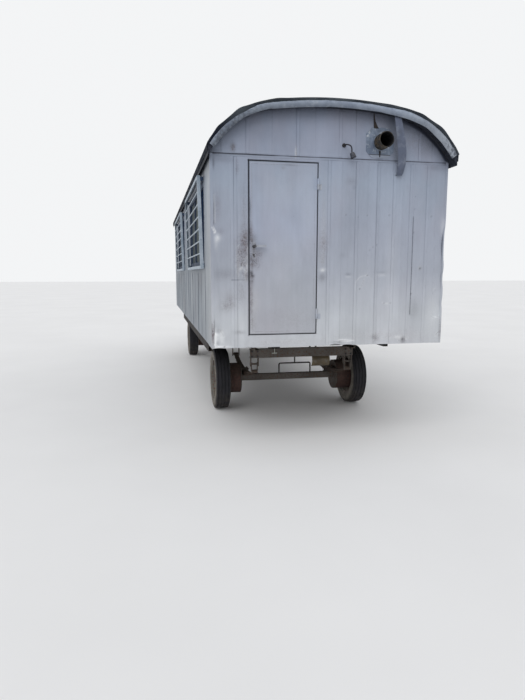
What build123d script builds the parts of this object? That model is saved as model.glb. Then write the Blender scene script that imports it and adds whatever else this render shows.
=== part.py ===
"""Two-axle site living wagon: a sheet-clad timber body with a bowed roof on a steel running gear.

Millimetres. +Z is up, +Y points to the drawbar, and the door end faces -Y.
The origin is on the ground, under the middle of the whole wagon.
"""

import math
import os

from build123d import *

# Body
BODY_WIDTH = 2450
BODY_LENGTH = 7800
WALL = 60
SKIRT_Z = 1060
FLOOR_TOP = 1180
FLOOR_BOARDS = 60
PANEL_JOINT = 1

# Bowed roof: a wide crown arc that runs into a shoulder arc on each side
ROOF_CROWN = 3433
GABLE_RISE = 533
CROWN_RADIUS = 4500
SHOULDER_RADIUS = 860
SHOULDER_REACH = 699
ROOF_BOARDS = 50
CROWN_BOARDS = 8
SHOULDER_BOARDS = 5
FELT = 8
FELT_LIP = 10
EAVE_OVERHANG = 30
END_OVERHANG = 120
FASCIA_DEPTH = 68
FASCIA_SHEET = 6

# Sheet cladding: cover strips over the joints, measured from the wagon's middle or from the door end.
# Beside the door they are measured from the left corner, and as shares of the wall to the door's right.
STRIP_PROUD = 4
STRIP_WIDTH = 30
SEAM_STRIP = 15
LEFT_STRIP = 238
RIGHT_STRIP_SHARES = (0.082, 0.292, 0.456, 0.581, 0.713, 0.846)
GABLE_STRIPS = (-880, -371, 60, 905)
SIDE_STRIP_FIRST = 620
SIDE_SHEET = 930
FRONT_SHEETS = 5

# Door, as seen from outside the door end: its place from the left corner and below the gable seam
DOOR_FROM_CORNER = 365
DOOR_WIDTH = 700
DOOR_BOTTOM = 1184
DOOR_HEAD_DROP = 33
DOOR_GAP = 9
DOOR_THICKNESS = 54
STOP_LAP = 16
STOP_COVER = 45
STOP_THICKNESS = 14
STOP_FIT = 0.5
HINGE_RADIUS = 10
HINGE_PIN_RADIUS = 5
HINGE_LENGTH = 104
HINGE_FROM_END = 206
HINGE_PLATE = 42
HINGE_SHEET = 4
HINGE_WEB = 4
HANDLE_HEIGHT = 873
HANDLE_INSET = 44
HANDLE_LENGTH = 107
HANDLE_RADIUS = 11
HANDLE_REACH = 50
KEYHOLE_DROP = 87
KEYHOLE_RADIUS = 4
LOCK_PLATE_WIDTH = 40
LOCK_PLATE_LENGTH = 170
LOCK_PLATE_SHEET = 4

# Windows: two on each side, one from each end, each with a row of casements
REAR_WINDOW_START = 710
FRONT_WINDOW_END = 1490
WINDOW_LENGTH = 2060
WINDOW_HEIGHT = 910
WINDOW_HEAD_DROP = 110
CASEMENTS = 3
SASH_WIDTH = 55
SASH_DEPTH = 44
SASH_SETBACK = 10
GLASS_THICKNESS = 5

# Window grille: flat bars welded into an angle-iron frame that leans out at its top
GRILLE_MARGIN = 34
GRILLE_FLAT_WIDTH = 34
GRILLE_THICKNESS = 8
GRILLE_DEPTH = 36
GRILLE_WEB = 5
GRILLE_BARS = 6
GRILLE_BAR_WIDTH = 14
GRILLE_FOOT_GAP = 8
GRILLE_HEAD_GAP = 34
GRILLE_LUG_LENGTH = 40

# Stove flue through the door end, its height above the gable seam
FLUE_X = 470
FLUE_RISE = 178
FLUE_RADIUS = 72
FLUE_SHEET = 4
FLUE_OUTER_LENGTH = 170
FLUE_INNER_LENGTH = 90
FLUE_PLATE_WIDTH = 290
FLUE_PLATE_CORNER = 62
FLUE_PLATE_SHEET = 6
FLUE_COLLAR_THICKNESS = 6
FLUE_COLLAR_LENGTH = 26
FLUE_FIT = 0.3

# Outside lamp: boss, bent arm and the holder at its end
LAMP_X = 96
LAMP_RISE = 138
LAMP_BOSS_RADIUS = 20
LAMP_BOSS_LENGTH = 14
LAMP_ARM_RADIUS = 6
LAMP_OUT = 62
LAMP_SIDE = 93
LAMP_DROP = 62
HOLDER_MOUTH_RADIUS = 25
HOLDER_NECK_RADIUS = 16
HOLDER_LENGTH = 54

# Strip of flashing that has come loose and hangs, leaning, from the overhang of the roof
LOOSE_TOP_X = 612
LOOSE_FOOT_X = 692
LOOSE_WIDTH = 80
LOOSE_SHEET = 3
LOOSE_DROP = 125
LOOSE_FIT = 0.5
LOOSE_TOP_OUT = 96
LOOSE_FOOT_OUT = 30
LOOSE_BOW = 26

# Chassis
RAIL_X = 595
RAIL_BOTTOM = 890
RAIL_HEIGHT = 140
RAIL_WIDTH = 60
RAIL_WEB = 8
RAIL_START = 930
RAIL_END_GAP = 160
SIDE_RAIL_INSET = 45
SIDE_RAIL_HEIGHT = 160
SIDE_RAIL_START = 1150
SIDE_RAIL_END_GAP = 1550
BEARER_WIDTH = 60
BEARER_INSET = 180
BEARERS = 11
TIES = 5
TIE_HEIGHT = 90
SPRING_BEAM_WIDTH = 60
SPRING_BEAM_HEIGHT = 110
SPRING_BEAM_HALF = 655

# Wheels, their axles measured from the two ends of the body
REAR_AXLE = 1870
FRONT_AXLE = 960
TRACK = 1850
TYRE_RADIUS = 400
TYRE_WIDTH = 200
TYRE_WALL_THICKNESS = 16
TYRE_WIDEST_RADIUS = 350
TREAD_HALF_WIDTH = 82
SHOULDER_DROP = 18
SHOULDER_IN = 4
BEAD_RADIUS = 254
BEAD_HALF_WIDTH = 74
GROOVE_SPACING = 42
GROOVE_WIDTH = 9
GROOVE_DEPTH = 8
RIM_FLANGE_RADIUS = 270
RIM_WELL_RADIUS = 228
RIM_WELL_HALF_WIDTH = 40
RIM_SHEET = 6
RIM_SLOPE = 12
DISC_SHEET = 9
DISC_DISH = 36
DISC_FLAT = 150
HAND_HOLES = 8
HAND_HOLE_RADIUS = 20
HAND_HOLE_PITCH_RADIUS = 182
NUTS = 8
NUT_PITCH_RADIUS = 110
NUT_ACROSS = 30
NUT_LENGTH = 22
HUB_RADIUS = 68
HUB_OUT = 72
HUB_CAP = 8
HUB_FIT = 0.3
DRUM_RADIUS = 200
DRUM_WALL = 12
DRUM_LENGTH = 255
DRUM_GAP = 6
BACK_PLATE = 6
PLATE_FIT = 0.3

# Axles
AXLE_BEAM_SIZE = 80
SPINDLE_RADIUS = 27
BEARING_FIT = 0.05
SPINDLE_END_GAP = 10

# Leaf springs, with a fixed eye at one end and a shackle at the other
LEAVES = 7
LEAF_THICKNESS = 9
LEAF_STEP = 0.13
LEAF_WIDTH = 60
EYE_RADIUS = 22
EYE_Z = 612
SPRING_PIN_RADIUS = 12
PIN_FIT = 0.3
SEAT_THICK = 10
SEAT_WIDTH = 108
SEAT_HALF = 75
CLAMP_THICK = 12
CLAMP_HALF = 55
U_BOLT_RADIUS = 8
U_BOLT_INSET = 16
REAR_SPRING_HALF = 750
FRONT_SPRING_HALF = 545
SHACKLE_LENGTH = 92
SHACKLE_PLATE = 8
SHACKLE_WIDTH = 44
SIDE_PLAY = 2
HANGER_PLATE = 9
HANGER_WIDTH = 64

# Pull-rod stirrup below the rear spring beam, and the bent plate beside it
STIRRUP_LEFT = -287
STIRRUP_RIGHT = 109
STIRRUP_BAR_RADIUS = 9
STIRRUP_BEND = 18
STIRRUP_TOP = 703
STIRRUP_FOOT = 580
BENT_PLATE_X = 130
BENT_PLATE_WIDTH = 228
BENT_PLATE_SHEET = 3
BENT_PLATE_DROP = 130
BENT_PLATE_BOW = 22
BENT_PLATE_LEAN = 34

# Turntable and front bogie
RING_OUTER = 645
RING_INNER = 560
RING_THICK = 25
RING_GAP = 0.5
RING_LIP = 14
RING_LIP_GAP = 5
BOGIE_HEIGHT = 100
BOGIE_WIDTH = 60
BOGIE_HALF = 640

# Drawbar, at rest with its eye on the ground
DRAWBAR_AHEAD = 720
DRAWBAR_Z = 700
DRAWBAR_REACH = 1900
DRAWBAR_HALF = 330
DRAWBAR_BAR_WIDTH = 60
DRAWBAR_DEPTH = 76
DRAWBAR_KNUCKLE = 90
DRAWBAR_MEET = 1480
DRAWBAR_BRACE = 620
DRAWBAR_HEAD_WIDTH = 90
DRAWBAR_HEAD_DEPTH = 56
TOW_SHANK_LENGTH = 40
TOW_SHANK_WIDTH = 66
TOW_EYE_RADIUS = 52
TOW_BORE_RADIUS = 20
TOW_THICKNESS = 30
LUG_THICKNESS = 14
LUG_GAP = 5
LUG_RADIUS = 42
PIVOT_PIN_RADIUS = 15
PIVOT_FIT = 0.05

# Slope at which the drawbar's eye lies on the ground
SLOPE = math.asin((DRAWBAR_Z - TOW_THICKNESS / 2) / DRAWBAR_REACH)
for _ in range(20):
    EYE_CENTRE_Z = TOW_EYE_RADIUS * math.sin(SLOPE) + TOW_THICKNESS / 2 * math.cos(SLOPE)
    SLOPE = math.asin((DRAWBAR_Z - EYE_CENTRE_Z) / DRAWBAR_REACH)
EYE_TIP = (DRAWBAR_REACH + TOW_EYE_RADIUS) * math.cos(SLOPE) + TOW_THICKNESS / 2 * math.sin(SLOPE)

# Places that follow from the sizes; the origin is half way between the flue's mouth and the tow eye
OVERALL = FLUE_OUTER_LENGTH + BODY_LENGTH - FRONT_AXLE + DRAWBAR_AHEAD + EYE_TIP
BACK = FLUE_OUTER_LENGTH - OVERALL / 2
FRONT = BACK + BODY_LENGTH
REAR_Y = BACK + REAR_AXLE
FRONT_Y = FRONT - FRONT_AXLE
PIVOT_Y = FRONT_Y + DRAWBAR_AHEAD
HALF = BODY_WIDTH / 2
SEAM_Z = ROOF_CROWN - GABLE_RISE
RAIL_TOP = RAIL_BOTTOM + RAIL_HEIGHT
SIDE_RAIL_X = HALF - WALL - SIDE_RAIL_INSET
AXLE_Z = TYRE_RADIUS
LINING = FELT + ROOF_BOARDS
ROOF_HALF = HALF + EAVE_OVERHANG
DOOR_LEFT = DOOR_FROM_CORNER - HALF
DOOR_RIGHT = DOOR_LEFT + DOOR_WIDTH
DOOR_TOP = SEAM_Z - DOOR_HEAD_DROP
WINDOW_HEAD = SEAM_Z - WINDOW_HEAD_DROP
WINDOW_SILL = WINDOW_HEAD - WINDOW_HEIGHT
WINDOW_MIDDLE = WINDOW_HEAD - WINDOW_HEIGHT / 2
WINDOWS = [BACK + REAR_WINDOW_START, FRONT - FRONT_WINDOW_END - WINDOW_LENGTH]
FLUE_Z = SEAM_Z + FLUE_RISE

os.makedirs("parts", exist_ok=True)


def keep(part, name):
    """Labels a finished piece and writes it to its own file."""
    part.label = name
    export_step(part, f"parts/{name}.step")


def keep_mirrored(part, name):
    """Keeps a right-hand piece, and its mirror image on the left."""
    keep(part, f"right_{name}")
    keep(part.mirror(Plane.YZ), f"left_{name}")


def end_plane(y):
    """A plane across the wagon at y: local x is +X, local y is +Z, and its normal is -Y."""
    return Plane(origin=(0, y, 0), x_dir=(1, 0, 0), z_dir=(0, -1, 0))


def side_plane(x):
    """A plane along the wagon at x: local x is +Y, local y is +Z, and its normal is +X."""
    return Plane(origin=(x, 0, 0), x_dir=(0, 1, 0), z_dir=(1, 0, 0))


# Roof

SHOULDER_X = HALF - SHOULDER_REACH
CROWN_ANGLE = math.asin(SHOULDER_X / (CROWN_RADIUS - SHOULDER_RADIUS))
CROWN_CENTRE = ROOF_CROWN - CROWN_RADIUS
SHOULDER_Z = CROWN_CENTRE + (CROWN_RADIUS - SHOULDER_RADIUS) * math.cos(CROWN_ANGLE)


def shoulder_point(angle, inset, side=1):
    """Point of the arch, inset below the felt's top, at an angle from upright about the shoulder's centre."""
    radius = SHOULDER_RADIUS - inset
    return (side * (SHOULDER_X + radius * math.sin(angle)), SHOULDER_Z + radius * math.cos(angle))


def eave_angle(half_width, inset):
    """Angle at which the inset shoulder arc reaches half_width."""
    return math.asin((half_width - SHOULDER_X) / (SHOULDER_RADIUS - inset))


def arch_height(x, inset):
    """Height of the inset arch above x."""
    if abs(x) <= (CROWN_RADIUS - inset) * math.sin(CROWN_ANGLE):
        return CROWN_CENTRE + math.sqrt((CROWN_RADIUS - inset) ** 2 - x * x)
    return SHOULDER_Z + math.sqrt((SHOULDER_RADIUS - inset) ** 2 - (abs(x) - SHOULDER_X) ** 2)


def draw_arch(inset, half_width):
    """Draws the inset arch from the left eave to the right one, and returns the two ends."""
    eave = eave_angle(half_width, inset)
    middle = (CROWN_ANGLE + eave) / 2
    left, right = shoulder_point(eave, inset, -1), shoulder_point(eave, inset)
    left_tangent, right_tangent = shoulder_point(CROWN_ANGLE, inset, -1), shoulder_point(CROWN_ANGLE, inset)
    ThreePointArc(left, shoulder_point(middle, inset, -1), left_tangent)
    ThreePointArc(left_tangent, (0, ROOF_CROWN - inset), right_tangent)
    ThreePointArc(right_tangent, shoulder_point(middle, inset), right)
    return left, right


def draw_gable(half_width, base):
    """Draws the outline of an end wall: the arch under the roof boards, down to base."""
    left, right = draw_arch(LINING, half_width)
    Polyline(right, (half_width, base), (-half_width, base), left)


def arched_sheet(start, length, outer, inner, half_width, joints=()):
    """Solid between two inset arches, from start along +Y for length, parted at the joints' places."""
    with BuildPart() as sheet:
        with BuildSketch(end_plane(start)):
            with BuildLine():
                outer_left, outer_right = draw_arch(outer, half_width)
                inner_left, inner_right = draw_arch(inner, half_width)
                Line(outer_left, inner_left)
                Line(outer_right, inner_right)
            make_face()
            if joints:
                with Locations(*joints):
                    Rectangle(PANEL_JOINT, 2 * (inner - outer), mode=Mode.SUBTRACT)
        extrude(amount=-length)
    return sheet.part


def board_joints():
    """Places of the joints between the roof boards, each turned square to the arch."""
    depth = (FELT + LINING) / 2
    joints = []
    for n in range(CROWN_BOARDS + 1):
        angle = CROWN_ANGLE * (2 * n / CROWN_BOARDS - 1)
        radius = CROWN_RADIUS - depth
        place = (radius * math.sin(angle), CROWN_CENTRE + radius * math.cos(angle))
        joints.append(Location(place, -math.degrees(angle)))
    board = (eave_angle(ROOF_HALF, FELT) - CROWN_ANGLE) / SHOULDER_BOARDS
    for n in range(1, SHOULDER_BOARDS):
        for side in (-1, 1):
            angle = CROWN_ANGLE + n * board
            joints.append(Location(shoulder_point(angle, depth, side), -side * math.degrees(angle)))
    return joints


ROOF_START = BACK - END_OVERHANG
ROOF_LENGTH = BODY_LENGTH + 2 * END_OVERHANG
keep(arched_sheet(ROOF_START, ROOF_LENGTH, FELT, LINING, ROOF_HALF, board_joints()), "roof")
keep(
    arched_sheet(ROOF_START - FASCIA_SHEET, ROOF_LENGTH + 2 * FASCIA_SHEET, 0, FELT, ROOF_HALF + FELT_LIP),
    "roof_felt",
)
for name, start in (("rear_fascia", ROOF_START - FASCIA_SHEET), ("front_fascia", ROOF_START + ROOF_LENGTH)):
    keep(arched_sheet(start, FASCIA_SHEET, FELT, FELT + FASCIA_DEPTH, ROOF_HALF), name)


# Walls and floor

def draw_cover_strips(places, low, high_of):
    """Upright cover strips on an end wall, each from low to high_of(place)."""
    for x in places:
        with Locations((x, (low + high_of(x)) / 2)):
            Rectangle(STRIP_WIDTH, high_of(x) - low)


def gable_top(x):
    """Top of a gable's cover strip, just under the roof boards."""
    return arch_height(abs(x) + STRIP_WIDTH / 2, LINING) - STRIP_PROUD


GABLE_FOOT = SEAM_Z - SEAM_STRIP / 2
PANEL_TOP = GABLE_FOOT - PANEL_JOINT

with BuildPart() as rear_gable:
    with BuildSketch(end_plane(BACK)):
        with BuildLine():
            draw_gable(HALF, GABLE_FOOT)
        make_face()
        with Locations((FLUE_X, FLUE_Z)):
            Circle(FLUE_RADIUS + FLUE_FIT, mode=Mode.SUBTRACT)
    extrude(amount=-WALL)
    with BuildSketch(end_plane(BACK)):
        draw_cover_strips(GABLE_STRIPS, SEAM_Z, gable_top)
        with Locations((0, SEAM_Z)):
            Rectangle(BODY_WIDTH, SEAM_STRIP)
        with Locations((FLUE_X, FLUE_Z)):
            Rectangle(FLUE_PLATE_WIDTH + STRIP_PROUD, FLUE_PLATE_WIDTH + STRIP_PROUD, mode=Mode.SUBTRACT)
    extrude(amount=STRIP_PROUD)
keep(rear_gable.part, "rear_gable")

with BuildPart() as rear_wall:
    with BuildSketch(end_plane(BACK)):
        with Locations((0, (SKIRT_Z + PANEL_TOP) / 2)):
            Rectangle(BODY_WIDTH, PANEL_TOP - SKIRT_Z)
        with Locations((DOOR_LEFT + DOOR_WIDTH / 2, (DOOR_BOTTOM + DOOR_TOP) / 2)):
            Rectangle(DOOR_WIDTH, DOOR_TOP - DOOR_BOTTOM, mode=Mode.SUBTRACT)
        with Locations((DOOR_LEFT, PANEL_TOP), (DOOR_RIGHT, PANEL_TOP)):
            Rectangle(PANEL_JOINT, 2 * (PANEL_TOP - SKIRT_Z), mode=Mode.SUBTRACT)
    extrude(amount=-WALL)
    with BuildSketch(end_plane(BACK)):
        right_strips = [DOOR_RIGHT + share * (HALF - DOOR_RIGHT) for share in RIGHT_STRIP_SHARES]
        draw_cover_strips([LEFT_STRIP - HALF, *right_strips], SKIRT_Z, lambda x: PANEL_TOP)
    extrude(amount=STRIP_PROUD)
keep(rear_wall.part, "rear_wall")

with BuildPart() as front_wall:
    with BuildSketch(end_plane(FRONT)):
        with BuildLine():
            draw_gable(HALF, SKIRT_Z)
        make_face()
    extrude(amount=WALL)
    with BuildSketch(end_plane(FRONT)):
        front_sheet = BODY_WIDTH / FRONT_SHEETS
        draw_cover_strips([n * front_sheet - HALF for n in range(1, FRONT_SHEETS)], SKIRT_Z, lambda x: SEAM_Z)
        with Locations((0, SEAM_Z)):
            Rectangle(BODY_WIDTH, SEAM_STRIP)
    extrude(amount=-STRIP_PROUD)
keep(front_wall.part, "front_wall")


def side_strip_top(y):
    """Top of a side cover strip: below the grille where it meets a window, else under the eave."""
    reach = GRILLE_MARGIN + STRIP_WIDTH
    if any(start - reach < y < start + WINDOW_LENGTH + reach for start in WINDOWS):
        return WINDOW_SILL - reach
    return SEAM_Z


with BuildPart() as right_wall:
    with BuildSketch(end_plane(BACK + WALL)):
        with BuildLine():
            draw_gable(HALF, SKIRT_Z)
        make_face()
        with Locations((-WALL, SKIRT_Z)):
            Rectangle(BODY_WIDTH, 2 * (ROOF_CROWN - SKIRT_Z), mode=Mode.SUBTRACT)
    extrude(amount=-(BODY_LENGTH - 2 * WALL))
    with BuildSketch(side_plane(HALF)):
        for start in WINDOWS:
            with Locations((start + WINDOW_LENGTH / 2, WINDOW_MIDDLE)):
                Rectangle(WINDOW_LENGTH, WINDOW_HEIGHT)
    extrude(amount=-WALL, mode=Mode.SUBTRACT)
    with BuildSketch(side_plane(HALF)):
        y = BACK + SIDE_STRIP_FIRST
        while y < FRONT - STRIP_WIDTH:
            with Locations((y, (SKIRT_Z + side_strip_top(y)) / 2)):
                Rectangle(STRIP_WIDTH, side_strip_top(y) - SKIRT_Z)
            y += SIDE_SHEET
    extrude(amount=STRIP_PROUD)
keep_mirrored(right_wall.part, "wall")

FRAME_WIDTH = DOOR_WIDTH + 2 * STOP_COVER
FLOOR_FOOT = FLOOR_TOP - FLOOR_BOARDS

with BuildPart() as floor:
    with BuildSketch(Plane.XY.offset(FLOOR_FOOT)):
        with Locations((0, BACK + BODY_LENGTH / 2)):
            Rectangle(BODY_WIDTH - 2 * WALL, BODY_LENGTH - 2 * WALL)
        with Locations((DOOR_LEFT + DOOR_WIDTH / 2, BACK + WALL)):
            Rectangle(FRAME_WIDTH + 2 * STOP_FIT, 2 * (STOP_THICKNESS + STOP_FIT), mode=Mode.SUBTRACT)
    extrude(amount=FLOOR_BOARDS)
keep(floor.part, "floor")


# Windows

PANE = (WINDOW_LENGTH - (CASEMENTS + 1) * SASH_WIDTH) / CASEMENTS
PANE_CENTRES = [(SASH_WIDTH + PANE) * n + SASH_WIDTH + PANE / 2 for n in range(CASEMENTS)]

with BuildPart() as window_sashes:
    with BuildSketch(side_plane(HALF - SASH_SETBACK)):
        for start in WINDOWS:
            with Locations((start + WINDOW_LENGTH / 2, WINDOW_MIDDLE)):
                Rectangle(WINDOW_LENGTH, WINDOW_HEIGHT)
            with Locations([(start + centre, WINDOW_MIDDLE) for centre in PANE_CENTRES]):
                Rectangle(PANE, WINDOW_HEIGHT - 2 * SASH_WIDTH, mode=Mode.SUBTRACT)
    extrude(amount=-SASH_DEPTH)
keep_mirrored(window_sashes.part, "window_sashes")

with BuildPart() as window_panes:
    with BuildSketch(side_plane(HALF - SASH_SETBACK - (SASH_DEPTH - GLASS_THICKNESS) / 2)):
        for start in WINDOWS:
            with Locations([(start + centre, WINDOW_MIDDLE) for centre in PANE_CENTRES]):
                Rectangle(PANE, WINDOW_HEIGHT - 2 * SASH_WIDTH)
    extrude(amount=-GLASS_THICKNESS)
keep_mirrored(window_panes.part, "window_panes")

GRILLE_LENGTH = WINDOW_LENGTH + 2 * GRILLE_MARGIN
LEAN = math.atan((GRILLE_HEAD_GAP - GRILLE_FOOT_GAP) / (WINDOW_HEIGHT + 2 * GRILLE_MARGIN))
GRILLE_HEIGHT = (WINDOW_HEIGHT + 2 * GRILLE_MARGIN) / math.cos(LEAN)
GRILLE_FOOT = WINDOW_SILL - GRILLE_MARGIN
CLEAR_LENGTH = GRILLE_LENGTH - 2 * GRILLE_FLAT_WIDTH
CLEAR_HEIGHT = GRILLE_HEIGHT - 2 * GRILLE_FLAT_WIDTH

with BuildPart() as window_grilles:
    for start in WINDOWS:
        middle = start + WINDOW_LENGTH / 2
        leaning = Plane(
            origin=(HALF + GRILLE_FOOT_GAP, middle, GRILLE_FOOT),
            x_dir=(0, 1, 0),
            z_dir=(math.cos(LEAN), 0, -math.sin(LEAN)),
        )
        with BuildSketch(leaning):
            with Locations((0, GRILLE_HEIGHT / 2)):
                Rectangle(GRILLE_LENGTH, GRILLE_HEIGHT)
                Rectangle(GRILLE_LENGTH - 2 * GRILLE_WEB, GRILLE_HEIGHT - 2 * GRILLE_WEB, mode=Mode.SUBTRACT)
        extrude(amount=GRILLE_DEPTH)
        with BuildSketch(leaning.offset(GRILLE_DEPTH - GRILLE_THICKNESS)):
            with Locations((0, GRILLE_HEIGHT / 2)):
                Rectangle(GRILLE_LENGTH, GRILLE_HEIGHT)
                Rectangle(CLEAR_LENGTH, CLEAR_HEIGHT, mode=Mode.SUBTRACT)
            spacing = CLEAR_HEIGHT / (GRILLE_BARS + 1)
            with Locations([(0, GRILLE_FLAT_WIDTH + spacing * n) for n in range(1, GRILLE_BARS + 1)]):
                Rectangle(CLEAR_LENGTH, GRILLE_BAR_WIDTH)
        extrude(amount=GRILLE_THICKNESS)
        inset = (GRILLE_LENGTH - GRILLE_FLAT_WIDTH) / 2
        for z, gap in ((GRILLE_FOOT + GRILLE_LUG_LENGTH, GRILLE_FOOT_GAP), (WINDOW_HEAD, GRILLE_HEAD_GAP)):
            with BuildSketch(side_plane(HALF)):
                with Locations((middle - inset, z), (middle + inset, z)):
                    Rectangle(GRILLE_FLAT_WIDTH, GRILLE_LUG_LENGTH)
            extrude(amount=gap + GRILLE_THICKNESS / 2)
keep_mirrored(window_grilles.part, "window_grilles")


# Door end fittings

with BuildPart() as door_frame:
    with BuildSketch(end_plane(BACK + WALL)):
        with Locations((DOOR_LEFT + DOOR_WIDTH / 2, (FLOOR_FOOT + DOOR_TOP + STOP_COVER) / 2)):
            Rectangle(FRAME_WIDTH, DOOR_TOP + STOP_COVER - FLOOR_FOOT)
        with Locations((DOOR_LEFT + DOOR_WIDTH / 2, (DOOR_BOTTOM + DOOR_TOP) / 2)):
            Rectangle(DOOR_WIDTH - 2 * STOP_LAP, DOOR_TOP - DOOR_BOTTOM - 2 * STOP_LAP, mode=Mode.SUBTRACT)
    extrude(amount=-STOP_THICKNESS)
keep(door_frame.part, "door_frame")

HINGE_X = DOOR_RIGHT - DOOR_GAP / 2
HINGE_Y = BACK - HINGE_RADIUS
HINGE_HEIGHTS = (DOOR_BOTTOM + HINGE_FROM_END, DOOR_TOP - HINGE_FROM_END)

with BuildPart() as door_leaf:
    with BuildSketch(end_plane(BACK)):
        with Locations((DOOR_LEFT + DOOR_WIDTH / 2, (DOOR_BOTTOM + DOOR_TOP) / 2)):
            Rectangle(DOOR_WIDTH - 2 * DOOR_GAP, DOOR_TOP - DOOR_BOTTOM - 2 * DOOR_GAP)
    extrude(amount=-DOOR_THICKNESS)
    for height in HINGE_HEIGHTS:
        with BuildSketch(end_plane(BACK)):
            with Locations((HINGE_X - HINGE_PLATE / 2, height)):
                Rectangle(HINGE_PLATE, HINGE_LENGTH)
            with Locations((HINGE_X, height)):
                Rectangle(2 * HINGE_RADIUS, HINGE_LENGTH, mode=Mode.SUBTRACT)
        extrude(amount=HINGE_SHEET)
        with BuildSketch(Plane.XY.offset(height)):
            with Locations((HINGE_X, HINGE_Y)):
                Circle(HINGE_RADIUS)
            knuckle_web = HINGE_RADIUS + HINGE_WEB
            with Locations((HINGE_X - knuckle_web / 2, HINGE_Y + HINGE_RADIUS - HINGE_SHEET / 2)):
                Rectangle(knuckle_web, HINGE_SHEET)
            with Locations((HINGE_X, HINGE_Y)):
                Circle(HINGE_PIN_RADIUS + PIVOT_FIT, mode=Mode.SUBTRACT)
        extrude(amount=HINGE_LENGTH / 2)
keep(door_leaf.part, "door_leaf")

with BuildPart() as door_hinges:
    for height in HINGE_HEIGHTS:
        with BuildSketch(Plane.XY.offset(height - HINGE_LENGTH / 2)):
            with Locations((HINGE_X, HINGE_Y)):
                Circle(HINGE_RADIUS)
            with Locations((HINGE_X + HINGE_PLATE / 2, HINGE_Y + HINGE_RADIUS - HINGE_SHEET / 2)):
                Rectangle(HINGE_PLATE, HINGE_SHEET)
        extrude(amount=HINGE_LENGTH / 2 - PIVOT_FIT)
        with BuildSketch(Plane.XY.offset(height - HINGE_LENGTH / 2)):
            with Locations((HINGE_X, HINGE_Y)):
                Circle(HINGE_PIN_RADIUS)
        extrude(amount=HINGE_LENGTH)
keep(door_hinges.part, "door_hinges")

HANDLE_X = DOOR_LEFT + DOOR_GAP + HANDLE_INSET
HANDLE_Z = DOOR_BOTTOM + HANDLE_HEIGHT

with BuildPart() as door_handle:
    with BuildSketch(end_plane(BACK)):
        with Locations((HANDLE_X, HANDLE_Z - KEYHOLE_DROP / 2)):
            RectangleRounded(LOCK_PLATE_WIDTH, LOCK_PLATE_LENGTH, LOCK_PLATE_WIDTH / 3)
        with Locations((HANDLE_X, HANDLE_Z - KEYHOLE_DROP)):
            Circle(KEYHOLE_RADIUS, mode=Mode.SUBTRACT)
    extrude(amount=LOCK_PLATE_SHEET)
    with BuildSketch(end_plane(BACK)):
        with Locations((HANDLE_X, HANDLE_Z)):
            Circle(HANDLE_RADIUS)
    extrude(amount=HANDLE_REACH)
    with BuildSketch(end_plane(BACK - HANDLE_REACH + HANDLE_RADIUS)):
        with Locations((HANDLE_X + HANDLE_LENGTH / 2, HANDLE_Z)):
            SlotOverall(HANDLE_LENGTH + 2 * HANDLE_RADIUS, 2 * HANDLE_RADIUS)
    extrude(amount=HANDLE_RADIUS)
keep(door_handle.part, "door_handle")

with BuildPart() as flue_plate:
    with BuildSketch(end_plane(BACK)):
        with Locations((FLUE_X, FLUE_Z)):
            plate_outline = Rectangle(FLUE_PLATE_WIDTH, FLUE_PLATE_WIDTH)
        chamfer(plate_outline.vertices(), FLUE_PLATE_CORNER)
    extrude(amount=FLUE_PLATE_SHEET)
    with BuildSketch(end_plane(BACK)):
        with Locations((FLUE_X, FLUE_Z)):
            Circle(FLUE_RADIUS + FLUE_COLLAR_THICKNESS)
    extrude(amount=FLUE_COLLAR_LENGTH)
    with BuildSketch(end_plane(BACK)):
        with Locations((FLUE_X, FLUE_Z)):
            Circle(FLUE_RADIUS + FLUE_FIT)
    extrude(amount=FLUE_COLLAR_LENGTH, mode=Mode.SUBTRACT)
keep(flue_plate.part, "flue_plate")

with BuildPart() as flue_pipe:
    with BuildSketch(end_plane(BACK + WALL + FLUE_INNER_LENGTH)):
        with Locations((FLUE_X, FLUE_Z)):
            Circle(FLUE_RADIUS)
            Circle(FLUE_RADIUS - FLUE_SHEET, mode=Mode.SUBTRACT)
    extrude(amount=FLUE_OUTER_LENGTH + WALL + FLUE_INNER_LENGTH)
keep(flue_pipe.part, "flue_pipe")

LAMP_Z = SEAM_Z + LAMP_RISE
HOLDER_X = LAMP_X + LAMP_SIDE
HOLDER_Y = BACK - LAMP_OUT
HOLDER_TOP = LAMP_Z - LAMP_DROP

with BuildPart() as lamp_bracket:
    with BuildSketch(end_plane(BACK)):
        with Locations((LAMP_X, LAMP_Z)):
            Circle(LAMP_BOSS_RADIUS)
    extrude(amount=LAMP_BOSS_LENGTH)
    with BuildLine() as arm_line:
        FilletPolyline(
            (LAMP_X, BACK, LAMP_Z),
            (LAMP_X, HOLDER_Y, LAMP_Z),
            (HOLDER_X, HOLDER_Y, LAMP_Z),
            (HOLDER_X, HOLDER_Y, HOLDER_TOP),
            radius=LAMP_DROP / 2,
        )
    with BuildSketch(end_plane(BACK)):
        with Locations((LAMP_X, LAMP_Z)):
            Circle(LAMP_ARM_RADIUS)
    sweep(path=arm_line.line)
    with BuildSketch(Plane.XY.offset(HOLDER_TOP)):
        with Locations((HOLDER_X, HOLDER_Y)):
            Circle(HOLDER_NECK_RADIUS)
    with BuildSketch(Plane.XY.offset(HOLDER_TOP - HOLDER_LENGTH)):
        with Locations((HOLDER_X, HOLDER_Y)):
            Circle(HOLDER_MOUTH_RADIUS)
    loft()
keep(lamp_bracket.part, "lamp_bracket")

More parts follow.
